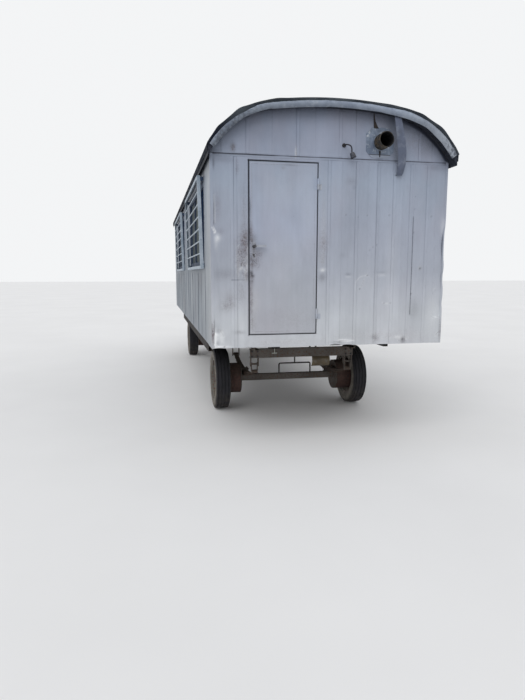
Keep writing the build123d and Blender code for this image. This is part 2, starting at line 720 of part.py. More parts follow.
LOOSE_TOP = arch_height(LOOSE_TOP_X + LOOSE_WIDTH / 2, LINING) - LOOSE_FIT
LOOSE_FOOT = SEAM_Z - LOOSE_DROP
LOOSE_LEAN = math.atan((LOOSE_FOOT_X - LOOSE_TOP_X) / (LOOSE_TOP - LOOSE_FOOT))
LOOSE_HIGHER_CORNER = LOOSE_WIDTH / 2 * math.sin(LOOSE_LEAN)
LOOSE_LENGTH = (LOOSE_TOP - LOOSE_FOOT - LOOSE_HIGHER_CORNER) / math.cos(LOOSE_LEAN)

with BuildPart() as loose_strip:
    with BuildSketch(side_plane(LOOSE_FOOT_X - LOOSE_WIDTH / 2)):
        with BuildLine():
            middle_y = BACK - (LOOSE_TOP_OUT + LOOSE_FOOT_OUT) / 2 - LOOSE_BOW
            top = (BACK - LOOSE_TOP_OUT, LOOSE_FOOT + LOOSE_LENGTH)
            middle = (middle_y, LOOSE_FOOT + LOOSE_LENGTH / 2)
            foot = (BACK - LOOSE_FOOT_OUT, LOOSE_FOOT)
            ThreePointArc(top, middle, foot)
            ThreePointArc(*[(y - LOOSE_SHEET, z) for y, z in (top, middle, foot)])
            for y, z in (top, foot):
                Line((y, z), (y - LOOSE_SHEET, z))
        make_face()
    extrude(amount=LOOSE_WIDTH)
loose_foot_axis = Axis((LOOSE_FOOT_X, 0, LOOSE_FOOT), (0, 1, 0))
loose_strip.part = loose_strip.part.rotate(loose_foot_axis, -math.degrees(LOOSE_LEAN))
keep(loose_strip.part, "loose_strip")


# Chassis

def channel(x, width, height, base, start, end):
    """Rolled channel along the wagon at x, its web on the outside and its open side towards the middle."""
    with BuildPart() as bar:
        with BuildSketch(end_plane(start)):
            with Locations((x, base + height / 2)):
                Rectangle(width, height)
            with Locations((x - RAIL_WEB, base + height / 2)):
                Rectangle(width, height - 2 * RAIL_WEB, mode=Mode.SUBTRACT)
        extrude(amount=-(end - start))
    return bar.part


def with_mirror(right):
    """The right-hand solids and their mirror images as one part."""
    with BuildPart() as pair:
        add(right)
        mirror(about=Plane.YZ)
    return pair.part


RAIL_START_Y = BACK + RAIL_START
RAIL_END_Y = FRONT - RAIL_END_GAP

for name, x, height, start, end in (
    ("chassis_rails", RAIL_X, RAIL_HEIGHT, RAIL_START_Y, RAIL_END_Y),
    ("side_rails", SIDE_RAIL_X, SIDE_RAIL_HEIGHT, BACK + SIDE_RAIL_START, FRONT - SIDE_RAIL_END_GAP),
):
    keep(with_mirror(channel(x, RAIL_WIDTH, height, RAIL_TOP - height, start, end)), name)

BEARER_HEIGHT = FLOOR_FOOT - RAIL_TOP
BEARER_START = BACK + WALL + BEARER_INSET + BEARER_WIDTH / 2
BEARER_STEP = (BACK + FRONT - 2 * BEARER_START) / (BEARERS - 1)

with BuildPart() as floor_bearers:
    with BuildSketch(Plane.XY.offset(RAIL_TOP)):
        with Locations([(0, BEARER_START + n * BEARER_STEP) for n in range(BEARERS)]):
            Rectangle(BODY_WIDTH - 2 * WALL, BEARER_WIDTH)
    extrude(amount=BEARER_HEIGHT)
keep(floor_bearers.part, "floor_bearers")

with BuildPart() as chassis_ties:
    with BuildSketch(Plane.XY.offset(RAIL_TOP - RAIL_WEB - TIE_HEIGHT)):
        step = (RAIL_END_Y - RAIL_START_Y - RAIL_WIDTH) / (TIES - 1)
        with Locations([(0, RAIL_START_Y + RAIL_WIDTH / 2 + n * step) for n in range(TIES)]):
            Rectangle(2 * RAIL_X + RAIL_WIDTH - 2 * RAIL_WEB, RAIL_WIDTH)
    extrude(amount=TIE_HEIGHT)
keep(chassis_ties.part, "chassis_ties")


# Springs and axles

SEAT_Z = AXLE_Z + AXLE_BEAM_SIZE / 2 + SEAT_THICK
MAIN_LEAF_Z = SEAT_Z + (LEAVES - 0.5) * LEAF_THICKNESS
CAMBER = EYE_Z - MAIN_LEAF_Z
HANGER_INNER = LEAF_WIDTH / 2 + SHACKLE_PLATE + 2 * SIDE_PLAY


def spring_radius(half):
    """Radius of the main leaf's middle line."""
    return (half * half + CAMBER * CAMBER) / (2 * CAMBER)


def pack_top(half, y):
    """Height of the main leaf's top face at y from the axle."""
    radius = spring_radius(half)
    return MAIN_LEAF_Z + radius - math.sqrt((radius - LEAF_THICKNESS / 2) ** 2 - y * y)


def leaf_spring(x, y, half):
    """Pack of curved leaves over the axle at y, the longest on top with an eye at each end."""
    radius = spring_radius(half)
    centre_z = MAIN_LEAF_Z + radius
    with BuildPart() as spring:
        with BuildSketch(side_plane(x - LEAF_WIDTH / 2)):
            for n in range(LEAVES):
                reach = math.asin(half * (1 - n * LEAF_STEP) / radius)
                inner, outer = radius + (n - 0.5) * LEAF_THICKNESS, radius + (n + 0.5) * LEAF_THICKNESS
                ends = [
                    [(y + r * math.sin(a), centre_z - r * math.cos(a)) for a in (-reach, 0, reach)]
                    for r in (inner, outer)
                ]
                with BuildLine():
                    ThreePointArc(*ends[0])
                    ThreePointArc(*ends[1])
                    Line(ends[0][0], ends[1][0])
                    Line(ends[0][2], ends[1][2])
                make_face()
            with Locations((y - half, EYE_Z), (y + half, EYE_Z)):
                Circle(EYE_RADIUS)
            with Locations((y - half, EYE_Z), (y + half, EYE_Z)):
                Circle(SPRING_PIN_RADIUS + PIN_FIT, mode=Mode.SUBTRACT)
        extrude(amount=LEAF_WIDTH)
    return spring.part


def draw_link(y, low, high, width):
    """Upright link from low to high at y, rounded about both ends."""
    with Locations((y, (low + high) / 2)):
        SlotCenterToCenter(high - low, width, rotation=90)


def hangers(y, top, pin_z):
    """Two pairs of hanger plates under top, with a spring pin through each pair."""
    with BuildPart() as pair:
        for side in (-1, 1):
            for offset in (-HANGER_INNER - HANGER_PLATE, HANGER_INNER):
                with BuildSketch(side_plane(side * RAIL_X + offset)):
                    with Locations((y, (top + pin_z) / 2)):
                        Rectangle(HANGER_WIDTH, top - pin_z)
                    with Locations((y, pin_z)):
                        Circle(HANGER_WIDTH / 2)
                extrude(amount=HANGER_PLATE)
            with BuildSketch(side_plane(side * RAIL_X - HANGER_INNER - HANGER_PLATE)):
                with Locations((y, pin_z)):
                    Circle(SPRING_PIN_RADIUS)
            extrude(amount=2 * (HANGER_INNER + HANGER_PLATE))
    return pair.part


def shackles(y):
    """Two shackles, each a pair of links with the lower pin, hung from the hanger's pin at y."""
    with BuildPart() as pair:
        for side in (-1, 1):
            for offset in (-LEAF_WIDTH / 2 - SIDE_PLAY - SHACKLE_PLATE, LEAF_WIDTH / 2 + SIDE_PLAY):
                with BuildSketch(side_plane(side * RAIL_X + offset)):
                    draw_link(y, EYE_Z, EYE_Z + SHACKLE_LENGTH, SHACKLE_WIDTH)
                    with Locations((y, EYE_Z + SHACKLE_LENGTH)):
                        Circle(SPRING_PIN_RADIUS + PIN_FIT, mode=Mode.SUBTRACT)
                extrude(amount=SHACKLE_PLATE)
            with BuildSketch(side_plane(side * RAIL_X - LEAF_WIDTH / 2 - SIDE_PLAY)):
                with Locations((y, EYE_Z)):
                    Circle(SPRING_PIN_RADIUS)
            extrude(amount=LEAF_WIDTH + 2 * SIDE_PLAY)
    return pair.part


def spring_beam(y, pin_z):
    """Cross-beam under the chassis rails, with the hangers of the two rear springs."""
    with BuildPart() as beam:
        with BuildSketch(side_plane(-SPRING_BEAM_HALF)):
            with Locations((y, RAIL_BOTTOM - SPRING_BEAM_HEIGHT / 2)):
                Rectangle(SPRING_BEAM_WIDTH, SPRING_BEAM_HEIGHT)
            with Locations((y + RAIL_WEB, RAIL_BOTTOM - SPRING_BEAM_HEIGHT / 2)):
                Rectangle(SPRING_BEAM_WIDTH, SPRING_BEAM_HEIGHT - 2 * RAIL_WEB, mode=Mode.SUBTRACT)
        extrude(amount=2 * SPRING_BEAM_HALF)
        add(hangers(y, RAIL_BOTTOM - SPRING_BEAM_HEIGHT, pin_z))
    return beam.part


WHEEL_X = TRACK / 2
DRUM_END = WHEEL_X - DRUM_LENGTH
PLATE_X = DRUM_END - DRUM_GAP


def axle(y, half):
    """Axle beam with its spindles and the seats and clamps of its two springs, and two backing plates."""
    clamp_z = pack_top(half, CLAMP_HALF) + PIN_FIT
    bolt_x = LEAF_WIDTH / 2 + U_BOLT_RADIUS + SIDE_PLAY
    bolt_y = CLAMP_HALF - U_BOLT_INSET
    with BuildPart() as beam:
        with Locations((0, y, AXLE_Z)):
            Box(2 * (PLATE_X - BACK_PLATE - PLATE_FIT), AXLE_BEAM_SIZE, AXLE_BEAM_SIZE)
        for side in (-1, 1):
            with BuildSketch(side_plane(side * RAIL_X)):
                with Locations((y, AXLE_Z)):
                    Circle(SPINDLE_RADIUS)
            extrude(amount=side * (WHEEL_X + HUB_OUT - SPINDLE_END_GAP - RAIL_X))
            with Locations((side * RAIL_X, y, SEAT_Z - SEAT_THICK / 2)):
                Box(SEAT_WIDTH, 2 * SEAT_HALF, SEAT_THICK)
            with Locations((side * RAIL_X, y, clamp_z + CLAMP_THICK / 2)):
                Box(SEAT_WIDTH, 2 * CLAMP_HALF, CLAMP_THICK)
            with BuildSketch(Plane.XY.offset(SEAT_Z - SEAT_THICK)):
                with Locations((side * RAIL_X, y)):
                    with GridLocations(2 * bolt_x, 2 * bolt_y, 2, 2):
                        Circle(U_BOLT_RADIUS)
            extrude(amount=clamp_z + 2 * CLAMP_THICK - SEAT_Z + SEAT_THICK)
            with BuildSketch(side_plane(side * (PLATE_X - BACK_PLATE / 2) - BACK_PLATE / 2)):
                with Locations((y, AXLE_Z)):
                    Circle(DRUM_RADIUS)
                    Circle(SPINDLE_RADIUS + PLATE_FIT, mode=Mode.SUBTRACT)
            extrude(amount=BACK_PLATE)
    return beam.part


for name, y, pin_z in (
    ("rear_spring_beam", REAR_Y - REAR_SPRING_HALF, EYE_Z + SHACKLE_LENGTH),
    ("middle_spring_beam", REAR_Y + REAR_SPRING_HALF, EYE_Z),
):
    keep(spring_beam(y, pin_z), name)
for name, y, half in (("rear", REAR_Y, REAR_SPRING_HALF), ("front", FRONT_Y, FRONT_SPRING_HALF)):
    keep(with_mirror(leaf_spring(RAIL_X, y, half)), f"{name}_springs")
    keep(shackles(y - half), f"{name}_shackles")
    keep(axle(y, half), f"{name}_axle")

SPRING_BEAM_Y = REAR_Y - REAR_SPRING_HALF
SPRING_BEAM_FOOT = RAIL_BOTTOM - SPRING_BEAM_HEIGHT

with BuildPart() as stirrup:
    with BuildLine() as stirrup_line:
        FilletPolyline(
            (STIRRUP_LEFT, SPRING_BEAM_Y, STIRRUP_FOOT),
            (STIRRUP_LEFT, SPRING_BEAM_Y, STIRRUP_TOP),
            (STIRRUP_RIGHT, SPRING_BEAM_Y, STIRRUP_TOP),
            (STIRRUP_RIGHT, SPRING_BEAM_Y, STIRRUP_FOOT),
            radius=STIRRUP_BEND,
        )
    with BuildSketch(Plane.XY.offset(STIRRUP_FOOT)):
        with Locations((STIRRUP_LEFT, SPRING_BEAM_Y)):
            Circle(STIRRUP_BAR_RADIUS)
    sweep(path=stirrup_line.line)
    with BuildSketch(Plane.XY.offset(STIRRUP_TOP)):
        with Locations(((STIRRUP_LEFT + STIRRUP_RIGHT) / 2, SPRING_BEAM_Y)):
            Circle(STIRRUP_BAR_RADIUS)
    extrude(amount=SPRING_BEAM_FOOT - STIRRUP_TOP)
keep(stirrup.part, "stirrup")

with BuildPart() as bent_plate:
    with BuildSketch(side_plane(BENT_PLATE_X)):
        with BuildLine():
            plate_y = SPRING_BEAM_Y
            middle = (plate_y - BENT_PLATE_BOW, SPRING_BEAM_FOOT - BENT_PLATE_DROP / 2)
            foot = (plate_y + BENT_PLATE_LEAN, SPRING_BEAM_FOOT - BENT_PLATE_DROP)
            ThreePointArc((plate_y, SPRING_BEAM_FOOT), middle, foot)
            ThreePointArc(
                (plate_y - BENT_PLATE_SHEET, SPRING_BEAM_FOOT),
                (middle[0] - BENT_PLATE_SHEET, middle[1]),
                (foot[0] - BENT_PLATE_SHEET, foot[1]),
            )
            Line((plate_y, SPRING_BEAM_FOOT), (plate_y - BENT_PLATE_SHEET, SPRING_BEAM_FOOT))
            Line(foot, (foot[0] - BENT_PLATE_SHEET, foot[1]))
        make_face()
    extrude(amount=BENT_PLATE_WIDTH)
keep(bent_plate.part, "bent_plate")


# Wheels

def tyre():
    """Tyre about the X axis: a hollow carcass with rounded shoulders and grooves round the tread."""
    crown = TYRE_RADIUS - SHOULDER_DROP
    with BuildPart() as carcass:
        with BuildSketch(Plane.XY):
            with BuildLine():
                Line((TREAD_HALF_WIDTH, TYRE_RADIUS), (-TREAD_HALF_WIDTH, TYRE_RADIUS))
                for side in (-1, 1):
                    shoulder = side * (TYRE_WIDTH / 2 - SHOULDER_IN)
                    bead, toe = side * BEAD_HALF_WIDTH, side * (BEAD_HALF_WIDTH - TYRE_WALL_THICKNESS)
                    Line((side * TREAD_HALF_WIDTH, TYRE_RADIUS), (shoulder, crown))
                    seat = RIM_FLANGE_RADIUS
                    widest = (side * TYRE_WIDTH / 2, TYRE_WIDEST_RADIUS)
                    ThreePointArc((shoulder, crown), widest, (bead, seat))
                    Polyline((bead, seat), (bead, BEAD_RADIUS), (toe, BEAD_RADIUS), (toe, seat))
                    ThreePointArc(
                        (toe, seat),
                        (side * (TYRE_WIDTH / 2 - TYRE_WALL_THICKNESS), TYRE_WIDEST_RADIUS),
                        (shoulder - side * TYRE_WALL_THICKNESS, crown - TYRE_WALL_THICKNESS),
                    )
                inner = TYRE_WIDTH / 2 - SHOULDER_IN - TYRE_WALL_THICKNESS
                Line((inner, crown - TYRE_WALL_THICKNESS), (-inner, crown - TYRE_WALL_THICKNESS))
            make_face()
            with Locations([(n * GROOVE_SPACING, TYRE_RADIUS) for n in (-1, 0, 1)]):
                Rectangle(GROOVE_WIDTH, 2 * GROOVE_DEPTH, mode=Mode.SUBTRACT)
        revolve(axis=Axis.X)
    return carcass.part


def wheel_disc():
    """Rim with a drop centre, and the dished disc with hand holes and wheel nuts; +X is outboard."""
    edge = BEAD_HALF_WIDTH + RIM_SHEET
    with BuildPart() as rim:
        with BuildSketch(Plane.XY):
            with BuildLine():
                Polyline(
                    (-edge, RIM_FLANGE_RADIUS),
                    (-edge, BEAD_RADIUS - RIM_SHEET),
                    (-RIM_WELL_HALF_WIDTH - RIM_SLOPE, BEAD_RADIUS - RIM_SHEET),
                    (-RIM_WELL_HALF_WIDTH, RIM_WELL_RADIUS - RIM_SHEET),
                    (RIM_WELL_HALF_WIDTH, RIM_WELL_RADIUS - RIM_SHEET),
                    (RIM_WELL_HALF_WIDTH + RIM_SLOPE, BEAD_RADIUS - RIM_SHEET),
                    (edge, BEAD_RADIUS - RIM_SHEET),
                    (edge, RIM_FLANGE_RADIUS),
                    (BEAD_HALF_WIDTH, RIM_FLANGE_RADIUS),
                    (BEAD_HALF_WIDTH, BEAD_RADIUS),
                    (RIM_WELL_HALF_WIDTH + RIM_SHEET, BEAD_RADIUS),
                    (RIM_WELL_HALF_WIDTH - RIM_SHEET, RIM_WELL_RADIUS),
                    (-RIM_WELL_HALF_WIDTH + RIM_SHEET, RIM_WELL_RADIUS),
                    (-RIM_WELL_HALF_WIDTH - RIM_SHEET, BEAD_RADIUS),
                    (-BEAD_HALF_WIDTH, BEAD_RADIUS),
                    (-BEAD_HALF_WIDTH, RIM_FLANGE_RADIUS),
                    close=True,
                )
            make_face()
            with BuildLine():
                Polyline(
                    (0, HUB_RADIUS + HUB_FIT),
                    (0, DISC_FLAT),
                    (DISC_DISH, RIM_WELL_RADIUS - RIM_SHEET),
                    (DISC_DISH - DISC_SHEET, RIM_WELL_RADIUS - RIM_SHEET),
                    (-DISC_SHEET, DISC_FLAT),
                    (-DISC_SHEET, HUB_RADIUS + HUB_FIT),
                    close=True,
                )
            make_face()
        revolve(axis=Axis.X)
        with BuildSketch(side_plane(-DISC_SHEET)):
            with PolarLocations(HAND_HOLE_PITCH_RADIUS, HAND_HOLES):
                Circle(HAND_HOLE_RADIUS)
        extrude(amount=DISC_DISH + DISC_SHEET, mode=Mode.SUBTRACT)
        with BuildSketch(side_plane(0)):
            with PolarLocations(NUT_PITCH_RADIUS, NUTS):
                RegularPolygon(NUT_ACROSS / 2, 6, major_radius=False)
        extrude(amount=NUT_LENGTH)
    return rim.part


def hub():
    """Hub and brake drum about the X axis, open inboard, with the bearing bore; +X is outboard."""
    with BuildPart() as drum:
        with BuildSketch(Plane.XY):
            with BuildLine():
                Polyline(
                    (-DRUM_LENGTH, DRUM_RADIUS),
                    (-DISC_SHEET - DRUM_WALL, DRUM_RADIUS),
                    (-DISC_SHEET, DRUM_RADIUS - DRUM_WALL),
                    (-DISC_SHEET, HUB_RADIUS),
                    (HUB_OUT, HUB_RADIUS - DRUM_WALL),
                    (HUB_OUT, 0),
                    (HUB_OUT - HUB_CAP, 0),
                    (HUB_OUT - HUB_CAP, SPINDLE_RADIUS + BEARING_FIT),
                    (-DRUM_LENGTH, SPINDLE_RADIUS + BEARING_FIT),
                    (-DRUM_LENGTH, HUB_RADIUS),
                    (-DISC_SHEET - DRUM_WALL, HUB_RADIUS),
                    (-DISC_SHEET - DRUM_WALL, DRUM_RADIUS - DRUM_WALL),
                    (-DRUM_LENGTH, DRUM_RADIUS - DRUM_WALL),
                    close=True,
                )
            make_face()
        revolve(axis=Axis.X)
    return drum.part


wheel_solids = (("tyre", tyre()), ("wheel", wheel_disc()), ("hub", hub()))
for end, y in (("rear", REAR_Y), ("front", FRONT_Y)):
    for hand, x, turn in (("right", WHEEL_X, 0), ("left", -WHEEL_X, 180)):
        for piece, solid in wheel_solids:
            with BuildPart() as placed:
                with Locations(Location((x, y, AXLE_Z), (0, 0, turn))):
                    add(solid)
            keep(placed.part, f"{end}_{hand}_{piece}")


# Turntable and bogie

RING_TOP = RAIL_BOTTOM
LOWER_RING_TOP = RING_TOP - RING_THICK - RING_GAP
BOGIE_TOP = LOWER_RING_TOP - RING_THICK
BOGIE_FOOT = BOGIE_TOP - BOGIE_HEIGHT

with BuildPart() as upper_ring:
    with BuildSketch(Plane.XY.offset(RING_TOP - RING_THICK)):
        with Locations((0, FRONT_Y)):
            Circle(RING_OUTER)
            Circle(RING_INNER, mode=Mode.SUBTRACT)
    extrude(amount=RING_THICK)
    with BuildSketch(Plane.XY.offset(RING_TOP - RING_THICK - RING_LIP)):
        with Locations((0, FRONT_Y)):
            Circle(RING_OUTER)
            Circle(RING_OUTER - RING_LIP, mode=Mode.SUBTRACT)
    extrude(amount=RING_LIP)
keep(upper_ring.part, "upper_ring")

with BuildPart() as lower_ring:
    with BuildSketch(Plane.XY.offset(BOGIE_TOP)):
        with Locations((0, FRONT_Y)):
            Circle(RING_OUTER - RING_LIP - RING_LIP_GAP)
            Circle(RING_INNER, mode=Mode.SUBTRACT)
    extrude(amount=RING_THICK)
keep(lower_ring.part, "lower_ring")

LUG_OFFSETS = (-DRAWBAR_BAR_WIDTH / 2 - LUG_GAP - LUG_THICKNESS, DRAWBAR_BAR_WIDTH / 2 + LUG_GAP)

with BuildPart() as bogie_frame:
    with BuildSketch(Plane.XY.offset(BOGIE_FOOT)):
        with Locations((-RAIL_X, FRONT_Y), (RAIL_X, FRONT_Y)):
            Rectangle(BOGIE_WIDTH, 2 * BOGIE_HALF)
        with Locations((0, FRONT_Y - FRONT_SPRING_HALF), (0, FRONT_Y + FRONT_SPRING_HALF)):
            Rectangle(2 * SPRING_BEAM_HALF, HANGER_WIDTH)
        with Locations((0, FRONT_Y + BOGIE_HALF - BOGIE_WIDTH / 2)):
            Rectangle(2 * RAIL_X, BOGIE_WIDTH)
    extrude(amount=BOGIE_HEIGHT)
    add(hangers(FRONT_Y - FRONT_SPRING_HALF, BOGIE_FOOT, EYE_Z + SHACKLE_LENGTH))
    add(hangers(FRONT_Y + FRONT_SPRING_HALF, BOGIE_FOOT, EYE_Z))
    for side in (-1, 1):
        for offset in LUG_OFFSETS:
            with BuildSketch(side_plane(side * DRAWBAR_HALF + offset)):
                with BuildLine():
                    Polyline(
                        (PIVOT_Y, DRAWBAR_Z + LUG_RADIUS),
                        (FRONT_Y + BOGIE_HALF, BOGIE_TOP),
                        (FRONT_Y + BOGIE_HALF, BOGIE_FOOT),
                        (PIVOT_Y, DRAWBAR_Z - LUG_RADIUS),
                        close=True,
                    )
                make_face()
                with Locations((PIVOT_Y, DRAWBAR_Z)):
                    Circle(LUG_RADIUS)
            extrude(amount=LUG_THICKNESS)
        with BuildSketch(side_plane(side * DRAWBAR_HALF + LUG_OFFSETS[0])):
            with Locations((PIVOT_Y, DRAWBAR_Z)):
                Circle(PIVOT_PIN_RADIUS)
        extrude(amount=LUG_OFFSETS[1] + LUG_THICKNESS - LUG_OFFSETS[0])
keep(bogie_frame.part, "bogie_frame")


# Drawbar

along_bar = Plane(
    origin=(0, PIVOT_Y, DRAWBAR_Z),
    x_dir=(1, 0, 0),
    z_dir=(0, math.sin(SLOPE), math.cos(SLOPE)),
)
HEAD_HALF = DRAWBAR_HEAD_WIDTH / 2
HEAD_START = DRAWBAR_MEET - DRAWBAR_BAR_WIDTH
HEAD_END = DRAWBAR_REACH - TOW_EYE_RADIUS - TOW_SHANK_LENGTH

with BuildPart() as drawbar_frame:
    with BuildSketch(along_bar):
        for side in (-1, 1):
            outer, inner = DRAWBAR_HALF + DRAWBAR_BAR_WIDTH / 2, DRAWBAR_HALF - DRAWBAR_BAR_WIDTH / 2
            with BuildLine():
                Polyline(
                    (side * outer, 0),
                    (side * outer, DRAWBAR_KNUCKLE),
                    (side * HEAD_HALF, DRAWBAR_MEET),
                    (0, DRAWBAR_MEET),
                    (0, DRAWBAR_MEET - DRAWBAR_BAR_WIDTH),
                    (side * inner, DRAWBAR_KNUCKLE),
                    (side * inner, 0),
                    close=True,
                )
            make_face()
        brace_half = DRAWBAR_HALF - (DRAWBAR_HALF - HEAD_HALF) * DRAWBAR_BRACE / DRAWBAR_MEET
        with Locations((0, DRAWBAR_BRACE)):
            Rectangle(2 * brace_half, DRAWBAR_BAR_WIDTH)
    extrude(amount=DRAWBAR_DEPTH / 2, both=True)
    for side in (-1, 1):
        with BuildSketch(side_plane(side * DRAWBAR_HALF - DRAWBAR_BAR_WIDTH / 2)):
            with Locations((PIVOT_Y, DRAWBAR_Z)):
                Circle(DRAWBAR_DEPTH / 2)
        extrude(amount=DRAWBAR_BAR_WIDTH)
        with BuildSketch(side_plane(side * DRAWBAR_HALF - DRAWBAR_BAR_WIDTH / 2)):
            with Locations((PIVOT_Y, DRAWBAR_Z)):
                Circle(PIVOT_PIN_RADIUS + PIVOT_FIT)
        extrude(amount=DRAWBAR_BAR_WIDTH, mode=Mode.SUBTRACT)
    with BuildSketch(along_bar):
        with Locations((0, (HEAD_START + HEAD_END) / 2)):
            Rectangle(DRAWBAR_HEAD_WIDTH, HEAD_END - HEAD_START)
    extrude(amount=DRAWBAR_HEAD_DEPTH / 2, both=True)
keep(drawbar_frame.part, "drawbar_frame")

with BuildPart() as tow_eye:
    with BuildSketch(along_bar):
        with Locations((0, DRAWBAR_REACH)):
            Circle(TOW_EYE_RADIUS)
        with Locations((0, (HEAD_END + DRAWBAR_REACH) / 2)):
            Rectangle(TOW_SHANK_WIDTH, DRAWBAR_REACH - HEAD_END)
        with Locations((0, DRAWBAR_REACH)):
            Circle(TOW_BORE_RADIUS, mode=Mode.SUBTRACT)
    extrude(amount=TOW_THICKNESS / 2, both=True)
keep(tow_eye.part, "tow_eye")
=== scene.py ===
"""Looks of the site living wagon: dented painted cladding, felt, glass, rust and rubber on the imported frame.

Metres, in the frame's axes: +Z is up, +Y points to the drawbar, and the door end faces -Y.
"""

import math
import random

import bmesh
import bpy
import numpy as np
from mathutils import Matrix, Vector, noise


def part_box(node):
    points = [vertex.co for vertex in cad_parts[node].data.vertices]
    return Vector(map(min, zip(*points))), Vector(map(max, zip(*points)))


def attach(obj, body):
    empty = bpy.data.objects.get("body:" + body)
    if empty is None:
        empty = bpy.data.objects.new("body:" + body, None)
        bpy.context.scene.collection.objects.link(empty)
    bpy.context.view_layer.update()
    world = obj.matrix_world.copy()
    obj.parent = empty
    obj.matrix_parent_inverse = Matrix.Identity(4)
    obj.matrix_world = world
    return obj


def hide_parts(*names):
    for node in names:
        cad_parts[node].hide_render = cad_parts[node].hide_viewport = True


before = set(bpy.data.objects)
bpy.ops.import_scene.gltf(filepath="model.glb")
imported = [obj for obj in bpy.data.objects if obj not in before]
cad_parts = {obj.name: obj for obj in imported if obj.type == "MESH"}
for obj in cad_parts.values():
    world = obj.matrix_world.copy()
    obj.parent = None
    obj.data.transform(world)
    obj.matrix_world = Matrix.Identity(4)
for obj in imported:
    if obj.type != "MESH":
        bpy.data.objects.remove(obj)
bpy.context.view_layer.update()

# Sizes that the CAD part shares
WALL = 0.060
HALF = 1.225
SKIRT = 1.060
SEAM = 2.900
GABLE_FOOT = 2.8925
PANEL_TOP = 2.8915
CROWN = 3.433
CROWN_RADIUS = 4.500
SHOULDER_RADIUS = 0.860
SHOULDER_X = 0.526
LINING = 0.058
FELT = 0.008
FELT_HALF = 1.265
OVERHANG = 0.120
FASCIA_SHEET = 0.006
FASCIA_DEPTH = 0.068
STRIP_HALF = 0.015
STRIP_PROUD = 0.004
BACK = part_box("rear_gable")[1].y - WALL
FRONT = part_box("front_wall")[0].y + WALL
DOOR_LEFT, DOOR_RIGHT = -0.860, -0.160
DOOR_BOTTOM, DOOR_TOP = 1.184, 2.867
DOOR_GAP = 0.009
FLUE_X, FLUE_Z = 0.470, 3.078
FLUE_RADIUS = 0.072
FLUE_PLATE_HALF = 0.145
WINDOW_SILL, WINDOW_HEAD = 1.880, 2.790
WINDOW_LENGTH = 2.060
GRILLE_MARGIN = 0.034
WINDOWS = (BACK + 0.710, FRONT - 1.490 - WINDOW_LENGTH)
SIDE_STRIP_FIRST = 0.620
SIDE_SHEET = 0.930
FRONT_SHEETS = 5
HANDLE_X, HANDLE_Z = -0.807, 2.057
KEYHOLE_DROP = 0.087
LOCK_PLATE = 0.004
AXLE_Z = 0.400
AXLES = [sum(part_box(f"{end}_left_tyre"), Vector()).y / 2 for end in ("rear", "front")]

# Sizes of the scene's own pieces: where the gable's sheets lap over the seam, the lamp's boss, how far a
# curtain covers its window, how near a panel's edge its relief fades, and the steps of the walls' grids
LAP = 2.914
LAMP_X, LAMP_Z = 0.096, 3.038
CURTAIN = 0.80
PANEL_EDGE = 0.002
REAR_GRID, DOOR_GRID, GABLE_GRID = 0.0105, 0.011, 0.0145
SIDE_GRID, FRONT_GRID = 0.030, 0.028
OUTWARD = Vector((0, -1, 0))

CROWN_ANGLE = math.asin(SHOULDER_X / (CROWN_RADIUS - SHOULDER_RADIUS))
CROWN_CENTRE = CROWN - CROWN_RADIUS
CROWN_REACH = CROWN_RADIUS * CROWN_ANGLE
SHOULDER_Z = CROWN_CENTRE + (CROWN_RADIUS - SHOULDER_RADIUS) * math.cos(CROWN_ANGLE)


# Bowed roof

def arch_point(along, inset):
    """Point (x, z) of the arch at a length along its top from the crown, inset below it."""
    side = math.copysign(1, along)
    if abs(along) <= CROWN_REACH:
        angle = abs(along) / CROWN_RADIUS
        radius = CROWN_RADIUS - inset
        return side * radius * math.sin(angle), CROWN_CENTRE + radius * math.cos(angle)
    angle = CROWN_ANGLE + (abs(along) - CROWN_REACH) / SHOULDER_RADIUS
    radius = SHOULDER_RADIUS - inset
    return side * (SHOULDER_X + radius * math.sin(angle)), SHOULDER_Z + radius * math.cos(angle)


def arch_spot(along, inset, y):
    """The same point at a place along the wagon."""
    x, z = arch_point(along, inset)
    return Vector((x, y, z))


def arch_length(x, inset=0.0):
    """Length along the arch's top at which the inset arch reaches x."""
    if abs(x) <= (CROWN_RADIUS - inset) * math.sin(CROWN_ANGLE):
        return CROWN_RADIUS * math.asin(x / (CROWN_RADIUS - inset))
    angle = math.asin((abs(x) - SHOULDER_X) / (SHOULDER_RADIUS - inset)) - CROWN_ANGLE
    return math.copysign(CROWN_REACH + SHOULDER_RADIUS * angle, x)


def arch_height(x, inset=LINING):
    """Height of the inset arch above x."""
    return arch_point(arch_length(x, inset), inset)[1]


# Numbers

def bell(away, half):
    """Soft bump over a distance: 1 in its middle, and about a third at half."""
    return np.exp(-(away / half) ** 2)


def share(value, start, end):
    """How far a value is on its way from start to end, held from 0 to 1."""
    return np.clip((value - start) / (end - start), 0, 1)


def steps(count):
    """Even steps from 0 to 1."""
    return [n / count for n in range(count + 1)]


def wave(place, seed=0.0):
    """Smooth noise from -1 to 1 along a line."""
    return noise.noise(Vector((place, 7.3 * seed + 0.5, 1.7 * seed)))


def grid_lines(low, high, step, stops=()):
    """Rising values from low to high, about a step apart, with one at every stop."""
    fixed = sorted({low, high, *(stop for stop in stops if low < stop < high)})
    lines = []
    for start, end in zip(fixed, fixed[1:]):
        count = max(1, round((end - start) / step))
        lines += [start + (end - start) * n / count for n in range(count)]
    return lines + [high]


# Meshes

